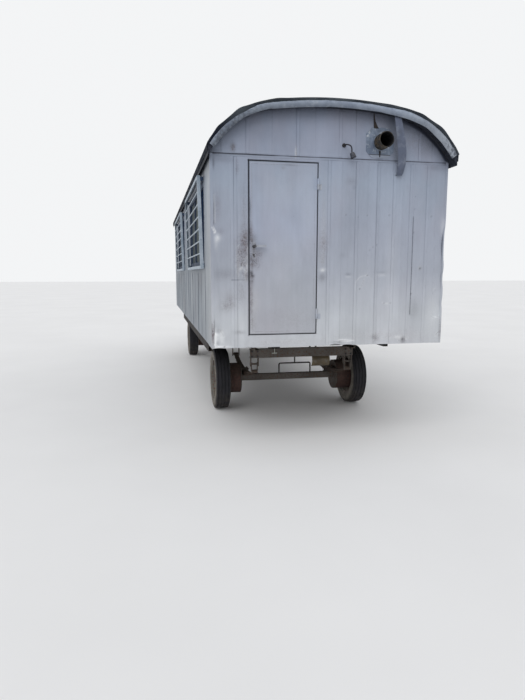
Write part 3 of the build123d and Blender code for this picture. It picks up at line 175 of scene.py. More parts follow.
def finish_mesh(mesh, name, material, body, sharp=35, stands_for=()):
    """Turns a bmesh into a shaded piece that rides on a body."""
    bmesh.ops.recalc_face_normals(mesh, faces=mesh.faces)
    data = bpy.data.meshes.new(name)
    mesh.to_mesh(data)
    mesh.free()
    data.materials.append(material)
    data.shade_smooth()
    data.set_sharp_from_angle(angle=math.radians(sharp))
    piece = bpy.data.objects.new(name, data)
    bpy.context.scene.collection.objects.link(piece)
    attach(piece, body)
    if stands_for:
        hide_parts(*stands_for)
    return piece


def paint_points(piece, name, values):
    """Stores a value for every point of a piece, for its material to read."""
    layer = piece.data.attributes.new(name, "FLOAT", "POINT")
    layer.data.foreach_set("value", [float(value) for value in values])


def add_sheet(mesh, rows, columns, place):
    """Adds a closed sheet: place(row, column) gives a point of each of its two faces."""
    pairs = [[place(row, column) for column in columns] for row in rows]
    near = [[mesh.verts.new(pair[0]) for pair in line] for line in pairs]
    far = [[mesh.verts.new(pair[1]) for pair in line] for line in pairs]
    last_row, last_column = len(near) - 1, len(near[0]) - 1
    for r in range(last_row):
        for c in range(last_column):
            mesh.faces.new((near[r][c], near[r][c + 1], near[r + 1][c + 1], near[r + 1][c]))
            mesh.faces.new((far[r][c], far[r + 1][c], far[r + 1][c + 1], far[r][c + 1]))
    rim = [(0, c) for c in range(last_column + 1)]
    rim += [(r, last_column) for r in range(1, last_row + 1)]
    rim += [(last_row, c) for c in range(last_column - 1, -1, -1)]
    rim += [(r, 0) for r in range(last_row - 1, 0, -1)]
    for (r, c), (s, d) in zip(rim, rim[1:] + rim[:1]):
        mesh.faces.new((near[s][d], near[r][c], far[r][c], far[s][d]))


def add_lathe(mesh, centre, axis, across, profile, segments, ripple=None):
    """Adds a closed ring of revolution: profile is a closed loop of (along the axis, radius)."""
    third = axis.cross(across)
    rings = []
    for n in range(segments):
        angle = 2 * math.pi * n / segments
        spoke = math.cos(angle) * across + math.sin(angle) * third
        ring = []
        for along, radius in profile:
            drop = ripple(along, radius, angle) if ripple else 0.0
            ring.append(mesh.verts.new(centre + axis * along + spoke * (radius - drop)))
        rings.append(ring)
    for ring, after in zip(rings, rings[1:] + rings[:1]):
        for n in range(len(profile)):
            m = (n + 1) % len(profile)
            mesh.faces.new((ring[n], ring[m], after[m], after[n]))


def circle(centre, across, third, radius, sides):
    """Points round a circle that lies along two directions."""
    angles = [2 * math.pi * n / sides for n in range(sides)]
    return [centre + (across * math.cos(angle) + third * math.sin(angle)) * radius for angle in angles]


def add_rings(mesh, circles):
    """Adds a closed rod or cap through a row of circles."""
    rings = [[mesh.verts.new(point) for point in points] for points in circles]
    for ring, after in zip(rings, rings[1:]):
        for n in range(len(ring)):
            m = (n + 1) % len(ring)
            mesh.faces.new((ring[n], ring[m], after[m], after[n]))
    mesh.faces.new(rings[0][::-1])
    mesh.faces.new(rings[-1])


def add_tube(mesh, path, radius, sides=12):
    """Adds a closed round rod along a path of points."""
    circles = []
    for before, point, after in zip(path[:1] + path, path, path[1:] + path[-1:]):
        across = (after - before).cross(Vector((1, 1, 1))).normalized()
        third = (after - before).cross(across).normalized()
        circles.append(circle(point, across, third, radius, sides))
    add_rings(mesh, circles)


# Share of the radius and of the height at each ring of a dome
DOME = ((1.0, -0.3), (1.0, 0.35), (0.6, 0.85))


def add_dome(mesh, centre, out, radius, height, sides=7):
    """Adds a low closed dome, such as a nail's or a bolt's head, on a face whose outward normal is out."""
    across = out.orthogonal().normalized()
    third = out.cross(across)
    add_rings(mesh, [
        circle(centre + out * (height * rise), across, third, radius * size, sides)
        for size, rise in DOME
    ])


# Relief and stains of clad faces, and the painted shade and highlights that some of them carry

KNOCK_RIM = 0.006
SEAM_SOFT = 0.003
LAP_FALL = 0.110


class Surface:
    """Relief and stains of a clad face over a grid of places (u, v), with painted shade and highlights among
    its stains.
    """

    STAINS_AND_PAINTED_LIGHT = ("dirt", "rust", "pale", "tone", "old_paint_and_shade")

    def __init__(self, us, vs, top=None, level=None):
        """The rows are heights; above level, where top is given, they are shares of the way up to top(u)."""
        self.u, self.v = np.meshgrid(us, vs)
        if top:
            level = vs[0] if level is None else level
            self.top = np.array([top(u) for u in us])[None, :]
            climb = np.clip(self.v - level, 0, None) / (vs[-1] - level)
            self.v = np.minimum(self.v, level) + climb * (self.top - level)
        blank = [np.zeros(self.u.shape) for _ in range(6)]
        self.relief, self.dirt, self.rust, self.pale, self.tone, self.old_paint_and_shade = blank

    def waves(self, places, seed):
        """Smooth noise along a line, at a place for every point of the grid."""
        return np.array([wave(place, seed) for place in places.ravel()]).reshape(places.shape)

    def noise(self, wide, tall, seed):
        """Smooth noise from about -1 to 1 whose patches are wide by tall."""
        spots = zip(self.u.ravel(), self.v.ravel())
        flat = [noise.noise(Vector((u / wide + seed, v / tall - seed, 0.3 + seed))) for u, v in spots]
        return np.array(flat).reshape(self.u.shape)

    def ripple(self, depth, wide, tall, seed):
        """Adds the gentle waves of thin sheet."""
        self.relief += depth * self.noise(wide, tall, seed)

    def age(self, seams, marks, seed):
        """Adds the waves, seams and stains that every clad face has, and gives each sheet its own tone."""
        self.ripple(0.0034, 0.42, 0.75, seed)
        self.ripple(0.0016, 0.15, 0.33, seed + 3.1)
        self.ripple(0.0006, 0.05, 0.12, seed + 5.7)
        rng = random.Random(seed)
        edges = sorted(place + side * half for place, half, *_ in seams for side in (-1, 1))
        tones = np.array([rng.uniform(-1, 1) for _ in range(len(edges) + 1)])
        self.tone += tones[np.searchsorted(edges, self.u)]
        for number, seam in enumerate(seams):
            self.seam(*seam, seed=seed + number)
        for mark in marks:
            self.mark(*mark)

    def seam(self, place, half, height, dark, low, high, seed):
        """Adds an upright cover strip, or a lapped sheet edge where half is nought, with dirt along it."""
        inside = share(self.v, low, low + 0.01) * share(self.v, high, high - 0.01)
        if half:
            rise = share(np.abs(self.u - place), half + SEAM_SOFT / 2, half - SEAM_SOFT / 2)
            edges = ((place - half - 0.0015, 0.75, -1), (place + half + 0.0015, 0.30, 1))
        else:
            rise = share(self.u, place - SEAM_SOFT, place) * share(self.u, place + LAP_FALL, place)
            edges = ((place - 0.0025, 0.75, -1),)
        self.relief += height * rise * inside
        streaks = self.waves(self.v * 2.3, seed)
        for edge, strength, sign in edges:
            dirt = np.clip(dark * (strength + sign * streaks), 0, 1)
            self.dirt += dirt * bell(self.u - edge, 0.0036) * inside

    def level_line(self, height, half, dirt, start, end, seed):
        """Adds a dark line along the wall, such as the painted shadow under a lapped sheet."""
        reach = share(self.u, start, start + 0.02) * share(self.u, end, end - 0.02)
        strength = np.clip(dirt * (0.7 + 0.6 * self.waves(self.u * 5.0, seed)), 0, 1)
        self.dirt += strength * bell(self.v - height, half) * reach

    def mark(self, u, v, wide, tall, depth, dirt, rust, pale):
        """Adds a soft oval dent or stain; on the dents its dark and pale are partly painted shade and painted
        highlights.
        """
        shape = bell(self.u - u, wide) * bell(self.v - v, tall)
        self.relief += depth * shape
        self.dirt += dirt * shape
        self.rust += rust * shape
        self.pale += pale * shape

    def knock(self, u, v, radius, dirt, pale):
        """Adds a round knock in the sheet, with a dark middle, and a painted highlight on its rim towards the
        top left.
        """
        far = np.hypot(self.u - u, self.v - v)
        towards = ((u - self.u) + (self.v - v)) / (1.4 * far + 0.001)
        self.relief -= 0.0015 * bell(far, radius)
        self.dirt += dirt * bell(far, 1.2 * KNOCK_RIM)
        self.pale += pale * bell(far - radius, KNOCK_RIM) * np.clip(0.25 + 0.75 * towards, 0, 1)

    def crease(self, u0, v0, u1, v1, half, depth, dirt, pale):
        """Adds a straight crease or scratch, dark along it with a pale line beside it, which is a painted
        highlight on a crease.
        """
        length = math.hypot(u1 - u0, v1 - v0)
        along = ((self.u - u0) * (u1 - u0) + (self.v - v0) * (v1 - v0)) / length ** 2
        near = np.clip(along, 0, 1)
        far = np.hypot(self.u - u0 - near * (u1 - u0), self.v - v0 - near * (v1 - v0))
        self.relief += depth * bell(far, half)
        self.dirt += dirt * bell(far, half)
        self.pale += pale * bell(far - 1.6 * half, half)


def seam_rows(table, low, high):
    """Rows for Surface.seam, from a place, a lap's height, its dirt, and a seam's own ends where it has them.

    A seam whose lap has no height is a cover strip.
    """
    return [
        (place, 0.0 if lap else STRIP_HALF, lap or STRIP_PROUD, dirt, *(ends or (low, high)))
        for place, lap, dirt, *ends in table
    ]


def seam_lines(seams):
    """Grid lines that the edges of the seams need."""
    lines = []
    for place, half, *_ in seams:
        for edge in ((place - half, place + half) if half else (place,)):
            lines += [edge - 0.007, edge - 0.0015, edge + 0.0015, edge + 0.007]
    return lines


def clad_panel(
    name, surface, spot, material, body, thickness, holes=(), bore=None, stands_for=(), edge=PANEL_EDGE,
):
    """Builds a wall panel: a fine outer face with relief, its sides, and a plain back with the same openings.

    spot(u, v, depth) is the place of the point that lies depth inside the panel's face.
    holes are boxes (low u, high u, low v, high v), and bore is a round hole (u, v, radius).
    """
    u, v = surface.u, surface.v
    rows, columns = u.shape
    border = np.minimum(np.minimum(u - u.min(), u.max() - u), np.minimum(v - v.min(), v[-1][None, :] - v))
    relief = surface.relief * share(border, 0.0, edge)
    mesh = bmesh.new()
    made = {}

    def corner(r, c):
        if (r, c) not in made:
            made[r, c] = mesh.verts.new(spot(u[r, c], v[r, c], -relief[r, c]))
        return made[r, c]

    def is_open(r, c):
        middle_u = (u[r, c] + u[r, c + 1]) / 2
        middle_v = (v[r, c] + v[r + 1, c]) / 2
        if any(low < middle_u < high and foot < middle_v < head for low, high, foot, head in holes):
            return True
        return bore is not None and math.hypot(middle_u - bore[0], middle_v - bore[1]) < bore[2]

    for r in range(rows - 1):
        for c in range(columns - 1):
            if not is_open(r, c):
                mesh.faces.new((corner(r, c), corner(r, c + 1), corner(r + 1, c + 1), corner(r + 1, c)))
    places = {vertex: cell for cell, vertex in made.items()}
    rim = [line for line in mesh.edges if len(line.link_faces) == 1]
    behind = {}
    # Every point of the rim gets one behind it, and the round hole's points are moved onto its circle
    for vertex in dict.fromkeys(vertex for line in rim for vertex in line.verts):
        r, c = places[vertex]
        pu, pv = u[r, c], v[r, c]
        if bore and math.hypot(pu - bore[0], pv - bore[1]) < 2 * bore[2]:
            away = math.hypot(pu - bore[0], pv - bore[1])
            pu = bore[0] + (pu - bore[0]) * bore[2] / away
            pv = bore[1] + (pv - bore[1]) * bore[2] / away
            vertex.co = spot(pu, pv, 0.0)
        behind[vertex] = mesh.verts.new(spot(pu, pv, thickness))
    back_rim = []
    for line in rim:
        a, b = line.verts
        side = mesh.faces.new((a, b, behind[b], behind[a]))
        back_rim += [back for back in side.edges if behind[a] in back.verts and behind[b] in back.verts]
    bmesh.ops.triangle_fill(mesh, use_beauty=False, use_dissolve=False, edges=back_rim)
    cells = [places.get(vertex) for vertex in mesh.verts]
    piece = finish_mesh(mesh, name, material, body, sharp=25, stands_for=stands_for)
    for stain in Surface.STAINS_AND_PAINTED_LIGHT:
        values = getattr(surface, stain)
        paint_points(piece, stain, [values[cell] if cell else 0.0 for cell in cells])


# Materials

def paint(*channels):
    """Linear colour of a screen colour whose three channels run from 0 to 255."""
    linear = [c / 255 / 12.92 if c <= 10 else ((c / 255 + 0.055) / 1.055) ** 2.4 for c in channels]
    return (*linear, 1.0)


class Finish:
    """A procedural material that is built up coat by coat, in metres of the frame."""

    def __init__(self, name, roughness=0.6, metallic=0.0, specular=0.5):
        self.material = bpy.data.materials.new(name)
        self.material.use_nodes = True
        self.nodes = self.material.node_tree.nodes
        self.links = self.material.node_tree.links
        self.shader = self.nodes["Principled BSDF"]
        self.shader.inputs["Roughness"].default_value = roughness
        self.shader.inputs["Metallic"].default_value = metallic
        self.shader.inputs["Specular IOR Level"].default_value = specular
        self.place = self.nodes.new("ShaderNodeTexCoord").outputs["Object"]
        self.side, self.length, self.height = self.split(self.place)

    def feed(self, socket, value):
        """Links a node's output to a socket, or sets the socket itself."""
        if isinstance(value, bpy.types.NodeSocket):
            self.links.new(value, socket)
        else:
            socket.default_value = value

    def split(self, vector):
        """The three components of a vector."""
        node = self.nodes.new("ShaderNodeSeparateXYZ")
        self.links.new(vector, node.inputs[0])
        return node.outputs

    def spread(self, value, low, high, to_low=0.0, to_high=1.0):
        """Maps low..high onto to_low..to_high, and holds it there outside."""
        node = self.nodes.new("ShaderNodeMapRange")
        self.feed(node.inputs["Value"], value)
        ends = {"From Min": low, "From Max": high, "To Min": to_low, "To Max": to_high}
        for socket, number in ends.items():
            node.inputs[socket].default_value = number
        return node.outputs["Result"]

    def noise(self, scale, stretch=(1, 1, 1), detail=4.0, low=0.35, high=0.65, shift=0.0):
        """Noise with a number of patches a metre, spread from 0 to 1."""
        mapping = self.nodes.new("ShaderNodeMapping")
        mapping.inputs["Scale"].default_value = stretch
        mapping.inputs["Location"].default_value = (shift, 0.7 * shift, 0.3 * shift)
        self.links.new(self.place, mapping.inputs["Vector"])
        texture = self.nodes.new("ShaderNodeTexNoise")
        texture.inputs["Scale"].default_value = scale
        texture.inputs["Detail"].default_value = detail
        texture.inputs["Roughness"].default_value = 0.6
        self.links.new(mapping.outputs["Vector"], texture.inputs["Vector"])
        return self.spread(texture.outputs["Fac"], low, high)

    def cells(self, scale, low, high, feature="F1"):
        """Distance in a pattern of random cells, spread from 0 to 1."""
        texture = self.nodes.new("ShaderNodeTexVoronoi")
        texture.feature = feature
        texture.inputs["Scale"].default_value = scale
        self.links.new(self.place, texture.inputs["Vector"])
        return self.spread(texture.outputs["Distance"], low, high)

    def attribute(self, name):
        """A stain that is painted on the mesh."""
        node = self.nodes.new("ShaderNodeAttribute")
        node.attribute_name = name
        return node.outputs["Fac"]

    def normal(self, axis):
        """The surface's normal along an axis of the frame."""
        geometry = self.nodes.new("ShaderNodeNewGeometry")
        return self.split(geometry.outputs["Normal"])[axis]

    def upward(self):
        """How far the surface faces up, from 0 to 1."""
        return self.spread(self.normal("Z"), 0.2, 0.9)

    def sideways(self):
        """How far the surface faces either side of the wagon, from 0 to 1."""
        return self.spread(self.math("ABSOLUTE", self.normal("X"), 0.0), 0.45, 0.9)

    def distance(self, centre, keep):
        """Distance from a centre, measured along the axes that keep marks with 1."""
        flat = self.nodes.new("ShaderNodeVectorMath")
        flat.operation = "MULTIPLY"
        self.links.new(self.place, flat.inputs[0])
        flat.inputs[1].default_value = keep
        away = self.nodes.new("ShaderNodeVectorMath")
        away.operation = "DISTANCE"
        self.links.new(flat.outputs["Vector"], away.inputs[0])
        away.inputs[1].default_value = [c * k for c, k in zip(centre, keep)]
        return away.outputs["Value"]

    def math(self, operation, a, b):
        """A sum, product or other operation on two numbers, held from 0 to 1."""
        node = self.nodes.new("ShaderNodeMath")
        node.operation = operation
        node.use_clamp = True
        self.feed(node.inputs[0], a)
        self.feed(node.inputs[1], b)
        return node.outputs[0]

    def mix(self, below, above, *amounts):
        """One colour over another, by the product of the amounts."""
        amount, *others = amounts
        for other in others:
            amount = self.math("MULTIPLY", amount, other)
        node = self.nodes.new("ShaderNodeMix")
        node.data_type = "RGBA"
        self.feed(node.inputs[0], amount)
        self.feed(node.inputs[6], below)
        self.feed(node.inputs[7], above)
        return node.outputs[2]

    def base(self, value, low, high):
        """Starts the colour: from one screen colour to another as a value goes from 0 to 1."""
        self.colour = self.mix(paint(*low), paint(*high), value)

    def ramp(self, value, stops):
        """Starts the colour along a row of stops, each a place and a colour."""
        node = self.nodes.new("ShaderNodeValToRGB")
        self.feed(node.inputs[0], value)
        marks = node.color_ramp.elements
        marks[0].position, marks[0].color = stops[0]
        marks[1].position, marks[1].color = stops[-1]
        for place, colour in stops[1:-1]:
            marks.new(place).color = colour
        self.colour = node.outputs[0]

    def coat(self, screen_colour, *amounts):
        """Lays a screen colour over what is there, by the product of the amounts."""
        self.colour = self.mix(self.colour, paint(*screen_colour), *amounts)

    def shade(self, value, low, high):
        """Darkens or lightens what is there: by low where the value is 0, and by high where it is 1."""
        node = self.nodes.new("ShaderNodeHueSaturation")
        self.feed(node.inputs["Value"], self.spread(value, 0, 1, low, high))
        self.feed(node.inputs["Color"], self.colour)
        self.colour = node.outputs["Color"]

    def bump(self, height, distance, strength=1.0, below=None):
        """Fine relief, over another if one is given."""
        node = self.nodes.new("ShaderNodeBump")
        node.inputs["Distance"].default_value = distance
        node.inputs["Strength"].default_value = strength
        self.feed(node.inputs["Height"], height)
        if below:
            self.links.new(below, node.inputs["Normal"])
        return node.outputs["Normal"]

    def done(self, normal, roughness=None):
        """Feeds the shader, and returns the material."""
        self.feed(self.shader.inputs["Base Color"], self.colour)
        self.feed(self.shader.inputs["Normal"], normal)
        if roughness:
            self.feed(self.shader.inputs["Roughness"], roughness)
        return self.material


# Height and colour of the paint, from the foot up: of the end walls, the door and the side walls. All grow
# darker towards the top, as painted shade under the roof, and the side walls' tones are darker than the end
# walls' as painted shade.
WALL_TONES = (
    (1.06, 188, 191, 196),
    (1.35, 184, 188, 194),
    (1.6, 173, 177, 186),
    (1.8, 160, 165, 176),
    (2.2, 154, 160, 174),
    (2.7, 146, 156, 172),
    (2.93, 139, 148, 166),
    (3.43, 126, 135, 154),
)
DOOR_TONES = ((1.18, 168, 171, 178), (1.6, 161, 165, 174), (2.2, 154, 161, 178), (2.87, 142, 152, 169))
SIDE_TONES = ((1.06, 130, 138, 147), (1.8, 120, 129, 139), (2.9, 122, 133, 149))


def clad_paint(name, tones, doorway=False):
    """Aluminium paint on old sheet: cloudy, faintly streaked, and stained along its seams; the stains that the
    walls store carry painted shade and highlights too, and the doorway's gap gets painted shade.
    """
    finish = Finish(name, metallic=0.18)
    foot, head = tones[0][0], tones[-1][0]
    stops = [((z - foot) / (head - foot), paint(*tone)) for z, *tone in tones]
    finish.ramp(finish.spread(finish.height, foot, head), stops)
    clouds = finish.noise(1.7, (1, 1, 0.7), low=0.3, high=0.7)
    finish.shade(clouds, 0.93, 1.07)
    mottle = finish.noise(7.5, (1, 1, 0.45), detail=5, low=0.3, high=0.7, shift=11.0)
    finish.shade(mottle, 0.955, 1.04)
    finish.shade(finish.spread(finish.side, -1.20, -0.85), 0.945, 1.0)
    finish.shade(finish.spread(finish.side, 0.85, 1.20), 1.0, 0.965)
    finish.shade(finish.spread(finish.attribute("tone"), -1, 1), 0.965, 1.035)
    warm = finish.noise(1.6, (1, 1, 0.5), detail=3, low=0.5, high=0.75, shift=4.0)
    finish.coat((158, 150, 160), warm, 0.30)
    finish.shade(finish.noise(34, (1, 1, 0.035), detail=3, low=0.3, high=0.7), 0.975, 1.02)
    runs = finish.noise(9, (1, 1, 0.12), detail=5, low=0.58, high=0.80, shift=2.0)
    finish.coat((112, 114, 126), runs, 0.22)
    broken = finish.noise(60, detail=3, low=0.25, high=0.6)
    # Pale bare paint, and painted highlights on dents, creases and the crumpled corner
    finish.coat((226, 228, 230), finish.attribute("pale"), finish.spread(broken, 0, 1, 0.65, 1.0))
    rust = finish.attribute("rust")
    finish.coat((116, 106, 110), rust, finish.noise(24, detail=5, low=0.25, high=0.60))
    finish.coat((60, 57, 58), rust, finish.noise(95, low=0.50, high=0.60, shift=6.0), 0.9)
    # Old blue paint, and painted shade under the gable's right eave and in the gap behind each grille
    finish.coat((30, 48, 74), finish.attribute("old_paint_and_shade"))
    # Dirt, and painted shade under the eaves, along laps, round the doorway and in dents
    finish.coat((35, 38, 49), finish.attribute("dirt"), finish.spread(broken, 0, 1, 0.7, 1.0))
    specks = finish.cells(26, 0.10, 0.055)
    finish.coat((82, 80, 86), specks, finish.noise(3.0, low=0.60, high=0.72, shift=9.0), 0.6)
    # Painted shade: the gap round the door leaf is dark
    if doorway:
        from_door = finish.distance(((DOOR_LEFT + DOOR_RIGHT) / 2, 0, 0), (1, 0, 0))
        finish.coat(
            (24, 23, 26),
            finish.spread(finish.length, BACK + 0.003, BACK + 0.010),
            finish.spread(finish.length, BACK + 0.038, BACK + 0.032),
            finish.spread(from_door, 0.40, 0.39),
        )
    fine = finish.bump(finish.noise(150, detail=3), 0.0005, 0.5)
    return finish.done(finish.bump(mottle, 0.0030, 0.5, fine), finish.spread(clouds, 0, 1, 0.60, 0.46))


def felt_tar():
    """Old bitumen felt with grit, moss and dust, and navy-black painted shade along its left eave."""
    finish = Finish("felt", 0.9, specular=0.1)
    patches = finish.noise(3.5, detail=6)
    finish.base(patches, (40, 45, 52), (72, 78, 84))
    level = finish.spread(finish.upward(), 0.55, 1.0)
    moss = finish.noise(9, detail=6, low=0.56, high=0.72, shift=3.0)
    finish.coat((84, 88, 70), moss, finish.spread(level, 0, 1, 0.15, 0.6))
    dust = finish.noise(1.3, (1, 0.4, 1), detail=5, low=0.5, high=0.75, shift=7.0)
    finish.coat((112, 114, 108), dust, level, 0.6)
    washed = finish.noise(5, (0.25, 1, 0.25), detail=5, low=0.5, high=0.75, shift=12.0)
    finish.coat((96, 98, 94), washed, finish.spread(level, 0, 1, 0.0, 0.45))
    finish.coat((18, 19, 21), finish.attribute("lap"), finish.noise(12, low=0.2, high=0.6, shift=2.0))
    # Painted shade along the left eave
    finish.coat((20, 25, 37), finish.spread(finish.side, -0.98, -1.21, 0.0, 0.92))
    wrinkles = finish.bump(finish.noise(14, (1, 0.35, 1)), 0.004, 0.6)
    grit = finish.bump(finish.noise(420, detail=2), 0.0012, 0.7, wrinkles)
    return finish.done(grit, finish.spread(patches, 0, 1, 0.95, 0.72))


def fascia_sheen_and_wear(finish):
    """The fascia's painted highlight along its middle, brightest near x 0.45, its painted shade along its
    edges, its darker left end and paler right end, and the paint that flakes at both ends.
    """
    level = finish.attribute("level")
    # Painted highlight high on the section, and painted shade on its lower edge
    finish.shade(finish.spread(level, 0.0, 0.28), 0.80, 1.12)
    finish.shade(finish.spread(level, 0.45, 1.0), 1.0, 0.60)
    from_bright_spot = finish.distance((0.45, 0, 0), (1, 0, 0))
    # Painted highlight, brightest near x 0.45
    finish.shade(finish.spread(from_bright_spot, 0.50, 0.10), 1.0, 1.22)
    finish.shade(finish.spread(finish.side, -1.00, -0.20), 0.72, 0.93)
    finish.coat((150, 156, 165), finish.spread(finish.side, 0.70, 1.10, 0.0, 0.75))
    right_end = finish.spread(finish.side, 1.06, 1.18, 0.0, 0.7)
    left_end = finish.spread(finish.side, -0.66, -0.96, 0.0, 0.5)
    flakes = finish.noise(34, detail=5, low=0.46, high=0.56, shift=14.0)
    finish.coat((52, 56, 66), flakes, finish.math("MAXIMUM", right_end, left_end))


def flue_plate_wear(finish):
    """Lichen on the flue's plate, and its foot, which was painted over, with a painted shadow along the
    plate's edge above that paint.
    """
    finish.coat((92, 106, 124), finish.noise(38, detail=5, low=0.46, high=0.62, shift=1.0), 0.6)
    finish.coat((138, 146, 161), finish.spread(finish.height, 2.966, 2.961))
    # Painted shadow along the plate's edge, above its painted foot
    edge_shadow = finish.spread(finish.height, 2.969, 2.966)
    finish.coat((44, 46, 54), edge_shadow, finish.spread(finish.height, 2.958, 2.961), 0.85)


def zinc_sheet(name, bright, dull, bloom, metallic, stains=0.55, sheen_and_wear=None, crust=None):
    """Galvanised sheet gone dull, with white bloom and stains; two hooks add a piece's own painted highlight
    and shade, and its own wear.
    """
    finish = Finish(name, 0.42, metallic)
    clouds = finish.noise(6, low=0.3, high=0.7)
    finish.base(clouds, dull, bright)
    if sheen_and_wear:
        sheen_and_wear(finish)
    finish.shade(finish.cells(60, 0.1, 0.75), 1.03, 0.96)
    finish.coat((204, 210, 214), finish.noise(22, detail=6, low=0.54, high=0.72), bloom)
    finish.coat((66, 72, 82), finish.noise(9, detail=6, low=0.54, high=0.74, shift=5.0), stains)
    if crust:
        crust(finish)
    finish.coat((96, 74, 64), finish.noise(30, detail=6, low=0.66, high=0.74, shift=8.0), 0.6)
    return finish.done(finish.bump(finish.noise(40), 0.0015, 0.5), finish.spread(clouds, 0, 1, 0.52, 0.36))


def worn_paint(name, coat, under, chips=0.62, roughness=0.6, metallic=0.0, rust=(104, 66, 46)):
    """Old paint that has chipped to what lies under it, with rust or dirt round the chips."""
    finish = Finish(name, roughness, metallic)
    tone = finish.noise(7, detail=5)
    finish.colour = finish.mix(paint(*coat), paint(*[0.72 * c for c in coat]), tone, 0.35)
    finish.coat(rust, finish.noise(46, detail=7, low=chips - 0.06, high=chips), 0.8)
    chip = finish.noise(46, detail=7, low=chips, high=chips + 0.03)
    finish.coat(under, chip)
    finish.coat((128, 120, 108), finish.upward(), finish.noise(20, low=0.2, high=0.7, shift=3.0), 0.6)
    return finish.done(finish.bump(chip, 0.0008, 0.6), finish.spread(tone, 0, 1, roughness, roughness + 0.2))


def old_wood(name, light, dark):
    """Weathered boards with grain along the wagon."""
    finish = Finish(name, 0.85)
    grain = finish.noise(60, (1, 0.05, 1), detail=6)
    finish.base(grain, dark, light)
    damp = finish.noise(3, low=0.5, high=0.75, shift=2.0)
    finish.coat([0.6 * c for c in dark], damp, 0.6)
    return finish.done(finish.bump(grain, 0.0015, 0.6))


def grille_coat():
    """Silver paint over the old blue, which is bare in the gap between the grille's webs and the wall, and
    dark there as painted shade.
    """
    finish = Finish("grille_paint", 0.5, 0.15)
    finish.base(finish.noise(7, detail=5), (138, 152, 165), (172, 182, 192))
    finish.coat((92, 112, 134), finish.noise(30, detail=6, low=0.60, high=0.66), 0.6)
    chip = finish.noise(46, detail=7, low=0.66, high=0.69)
    finish.coat((98, 70, 56), chip)
    across = finish.distance((0, 0, 0), (1, 0, 0))
    gap = finish.spread(finish.height, WINDOW_SILL, WINDOW_HEAD, HALF + 0.010, HALF + 0.035)
    finish.coat((28, 48, 76), finish.spread(finish.math("SUBTRACT", gap, across), 0.0, 0.003))
    return finish.done(finish.bump(chip, 0.0008, 0.6))


def dirty_glass():
    """Dark old glass under dust, with the folds of a navy curtain drawn to the rear edge of each window; the
    curtain is partly painted shade, for the dark seen through the gap beside each grille.
    """
    finish = Finish("pane", specular=0.0)
    folds = finish.noise(15, (1, 1, 0.04), detail=3, high=0.62)
    finish.base(folds, (62, 69, 74), (112, 118, 118))
    dust = finish.noise(2.2, low=0.3, high=0.8, shift=6.0)
    finish.coat((122, 126, 124), dust, 0.25)
    cloth = finish.mix(paint(20, 30, 48), paint(34, 48, 72), folds)
    for start in WINDOWS:
        drawn = finish.spread(finish.length, start + CURTAIN, start + CURTAIN - 0.06)
        behind_pane = finish.spread(finish.length, start - 0.02, start - 0.01)
        finish.colour = finish.mix(finish.colour, cloth, drawn, behind_pane)
    finish.feed(finish.shader.inputs["Base Color"], finish.colour)
    finish.feed(finish.shader.inputs["Roughness"], finish.spread(dust, 0, 1, 0.10, 0.40))
    return finish.material


def stove_pipe():
    """Sooty, rusty stove pipe, black inside."""
    finish = Finish("rusty_pipe", 0.75, metallic=0.2)
    tone = finish.noise(40, detail=6)
    finish.base(tone, (27, 28, 32), (60, 57, 54))
    finish.coat((98, 84, 62), finish.noise(22, detail=6, low=0.46, high=0.64, shift=4.0), 0.75)
    away = finish.distance((FLUE_X, 0, FLUE_Z), (1, 0, 1))
    finish.coat((14, 14, 18), finish.spread(away, FLUE_RADIUS - 0.001, FLUE_RADIUS - 0.003))
    return finish.done(finish.bump(tone, 0.0015, 0.8))


def handle_paint():
    """Pale paint, rubbed on the lever and black round its boss."""
    finish = Finish("fittings_handle", 0.42, metallic=0.25)
    wear = finish.noise(60, detail=5)
    finish.base(wear, (118, 120, 130), (150, 153, 162))
    lever = finish.spread(finish.side, HANDLE_X + 0.020, HANDLE_X + 0.026)
    finish.coat((156, 160, 170), lever)
    away = finish.distance((HANDLE_X, 0, HANDLE_Z - 0.004), (1, 0, 1))
    finish.coat((30, 29, 32), finish.spread(away, 0.020, 0.012), finish.spread(wear, 0, 1, 0.8, 1.0))
    smudge = finish.noise(45, detail=5, low=0.50, high=0.66, shift=3.0)
    finish.coat((84, 78, 78), smudge, finish.spread(lever, 0, 1, 0.8, 0.2))
    return finish.done(finish.bump(wear, 0.0006, 0.4))


def scaly_rust(name, light, dark, dust=0.5):
    """Rusted iron and steel under road dust."""
    finish = Finish(name, 0.85, metallic=0.1)
    scale = finish.noise(55, detail=7)
    finish.base(scale, dark, light)
    finish.coat((60, 54, 50), finish.noise(9, detail=5, low=0.5, high=0.7, shift=2.0), 0.6)
    finish.coat((122, 112, 98), finish.upward(), finish.noise(16, low=0.2, high=0.6, shift=5.0), dust)
    finish.coat((110, 102, 92), finish.noise(5, detail=5, low=0.4, high=0.75, shift=8.0), 0.5 * dust)
    return finish.done(finish.bump(scale, 0.002, 0.7))


def dusty_rubber():
    """Perished black rubber, beige with dust on its flanks and where it meets the ground."""
    finish = Finish("tyre_rubber", 0.82)
    finish.base(finish.noise(9, detail=5), (17, 18, 23), (31, 31, 38))
    film = finish.noise(17, detail=6, low=0.36, high=0.70, shift=3.0)
    finish.coat((112, 102, 90), film, finish.spread(finish.height, 0.35, 0.01, 0.02, 0.40))
    from_axle = finish.math("MINIMUM", *[finish.distance((0, y, AXLE_Z), (0, 1, 1)) for y in AXLES])
    patches = finish.noise(8, detail=6, low=0.35, high=0.7, shift=1.0)
    off_tread = finish.spread(from_axle, 0.386, 0.350)
    finish.coat((146, 140, 130), finish.sideways(), finish.spread(patches, 0, 1, 0.35, 0.92), off_tread)
    cracks = finish.cells(60, 0.02, 0.12, "DISTANCE_TO_EDGE")
    return finish.done(finish.bump(cracks, 0.0008, 0.5, finish.bump(finish.noise(120), 0.0006, 0.5)))


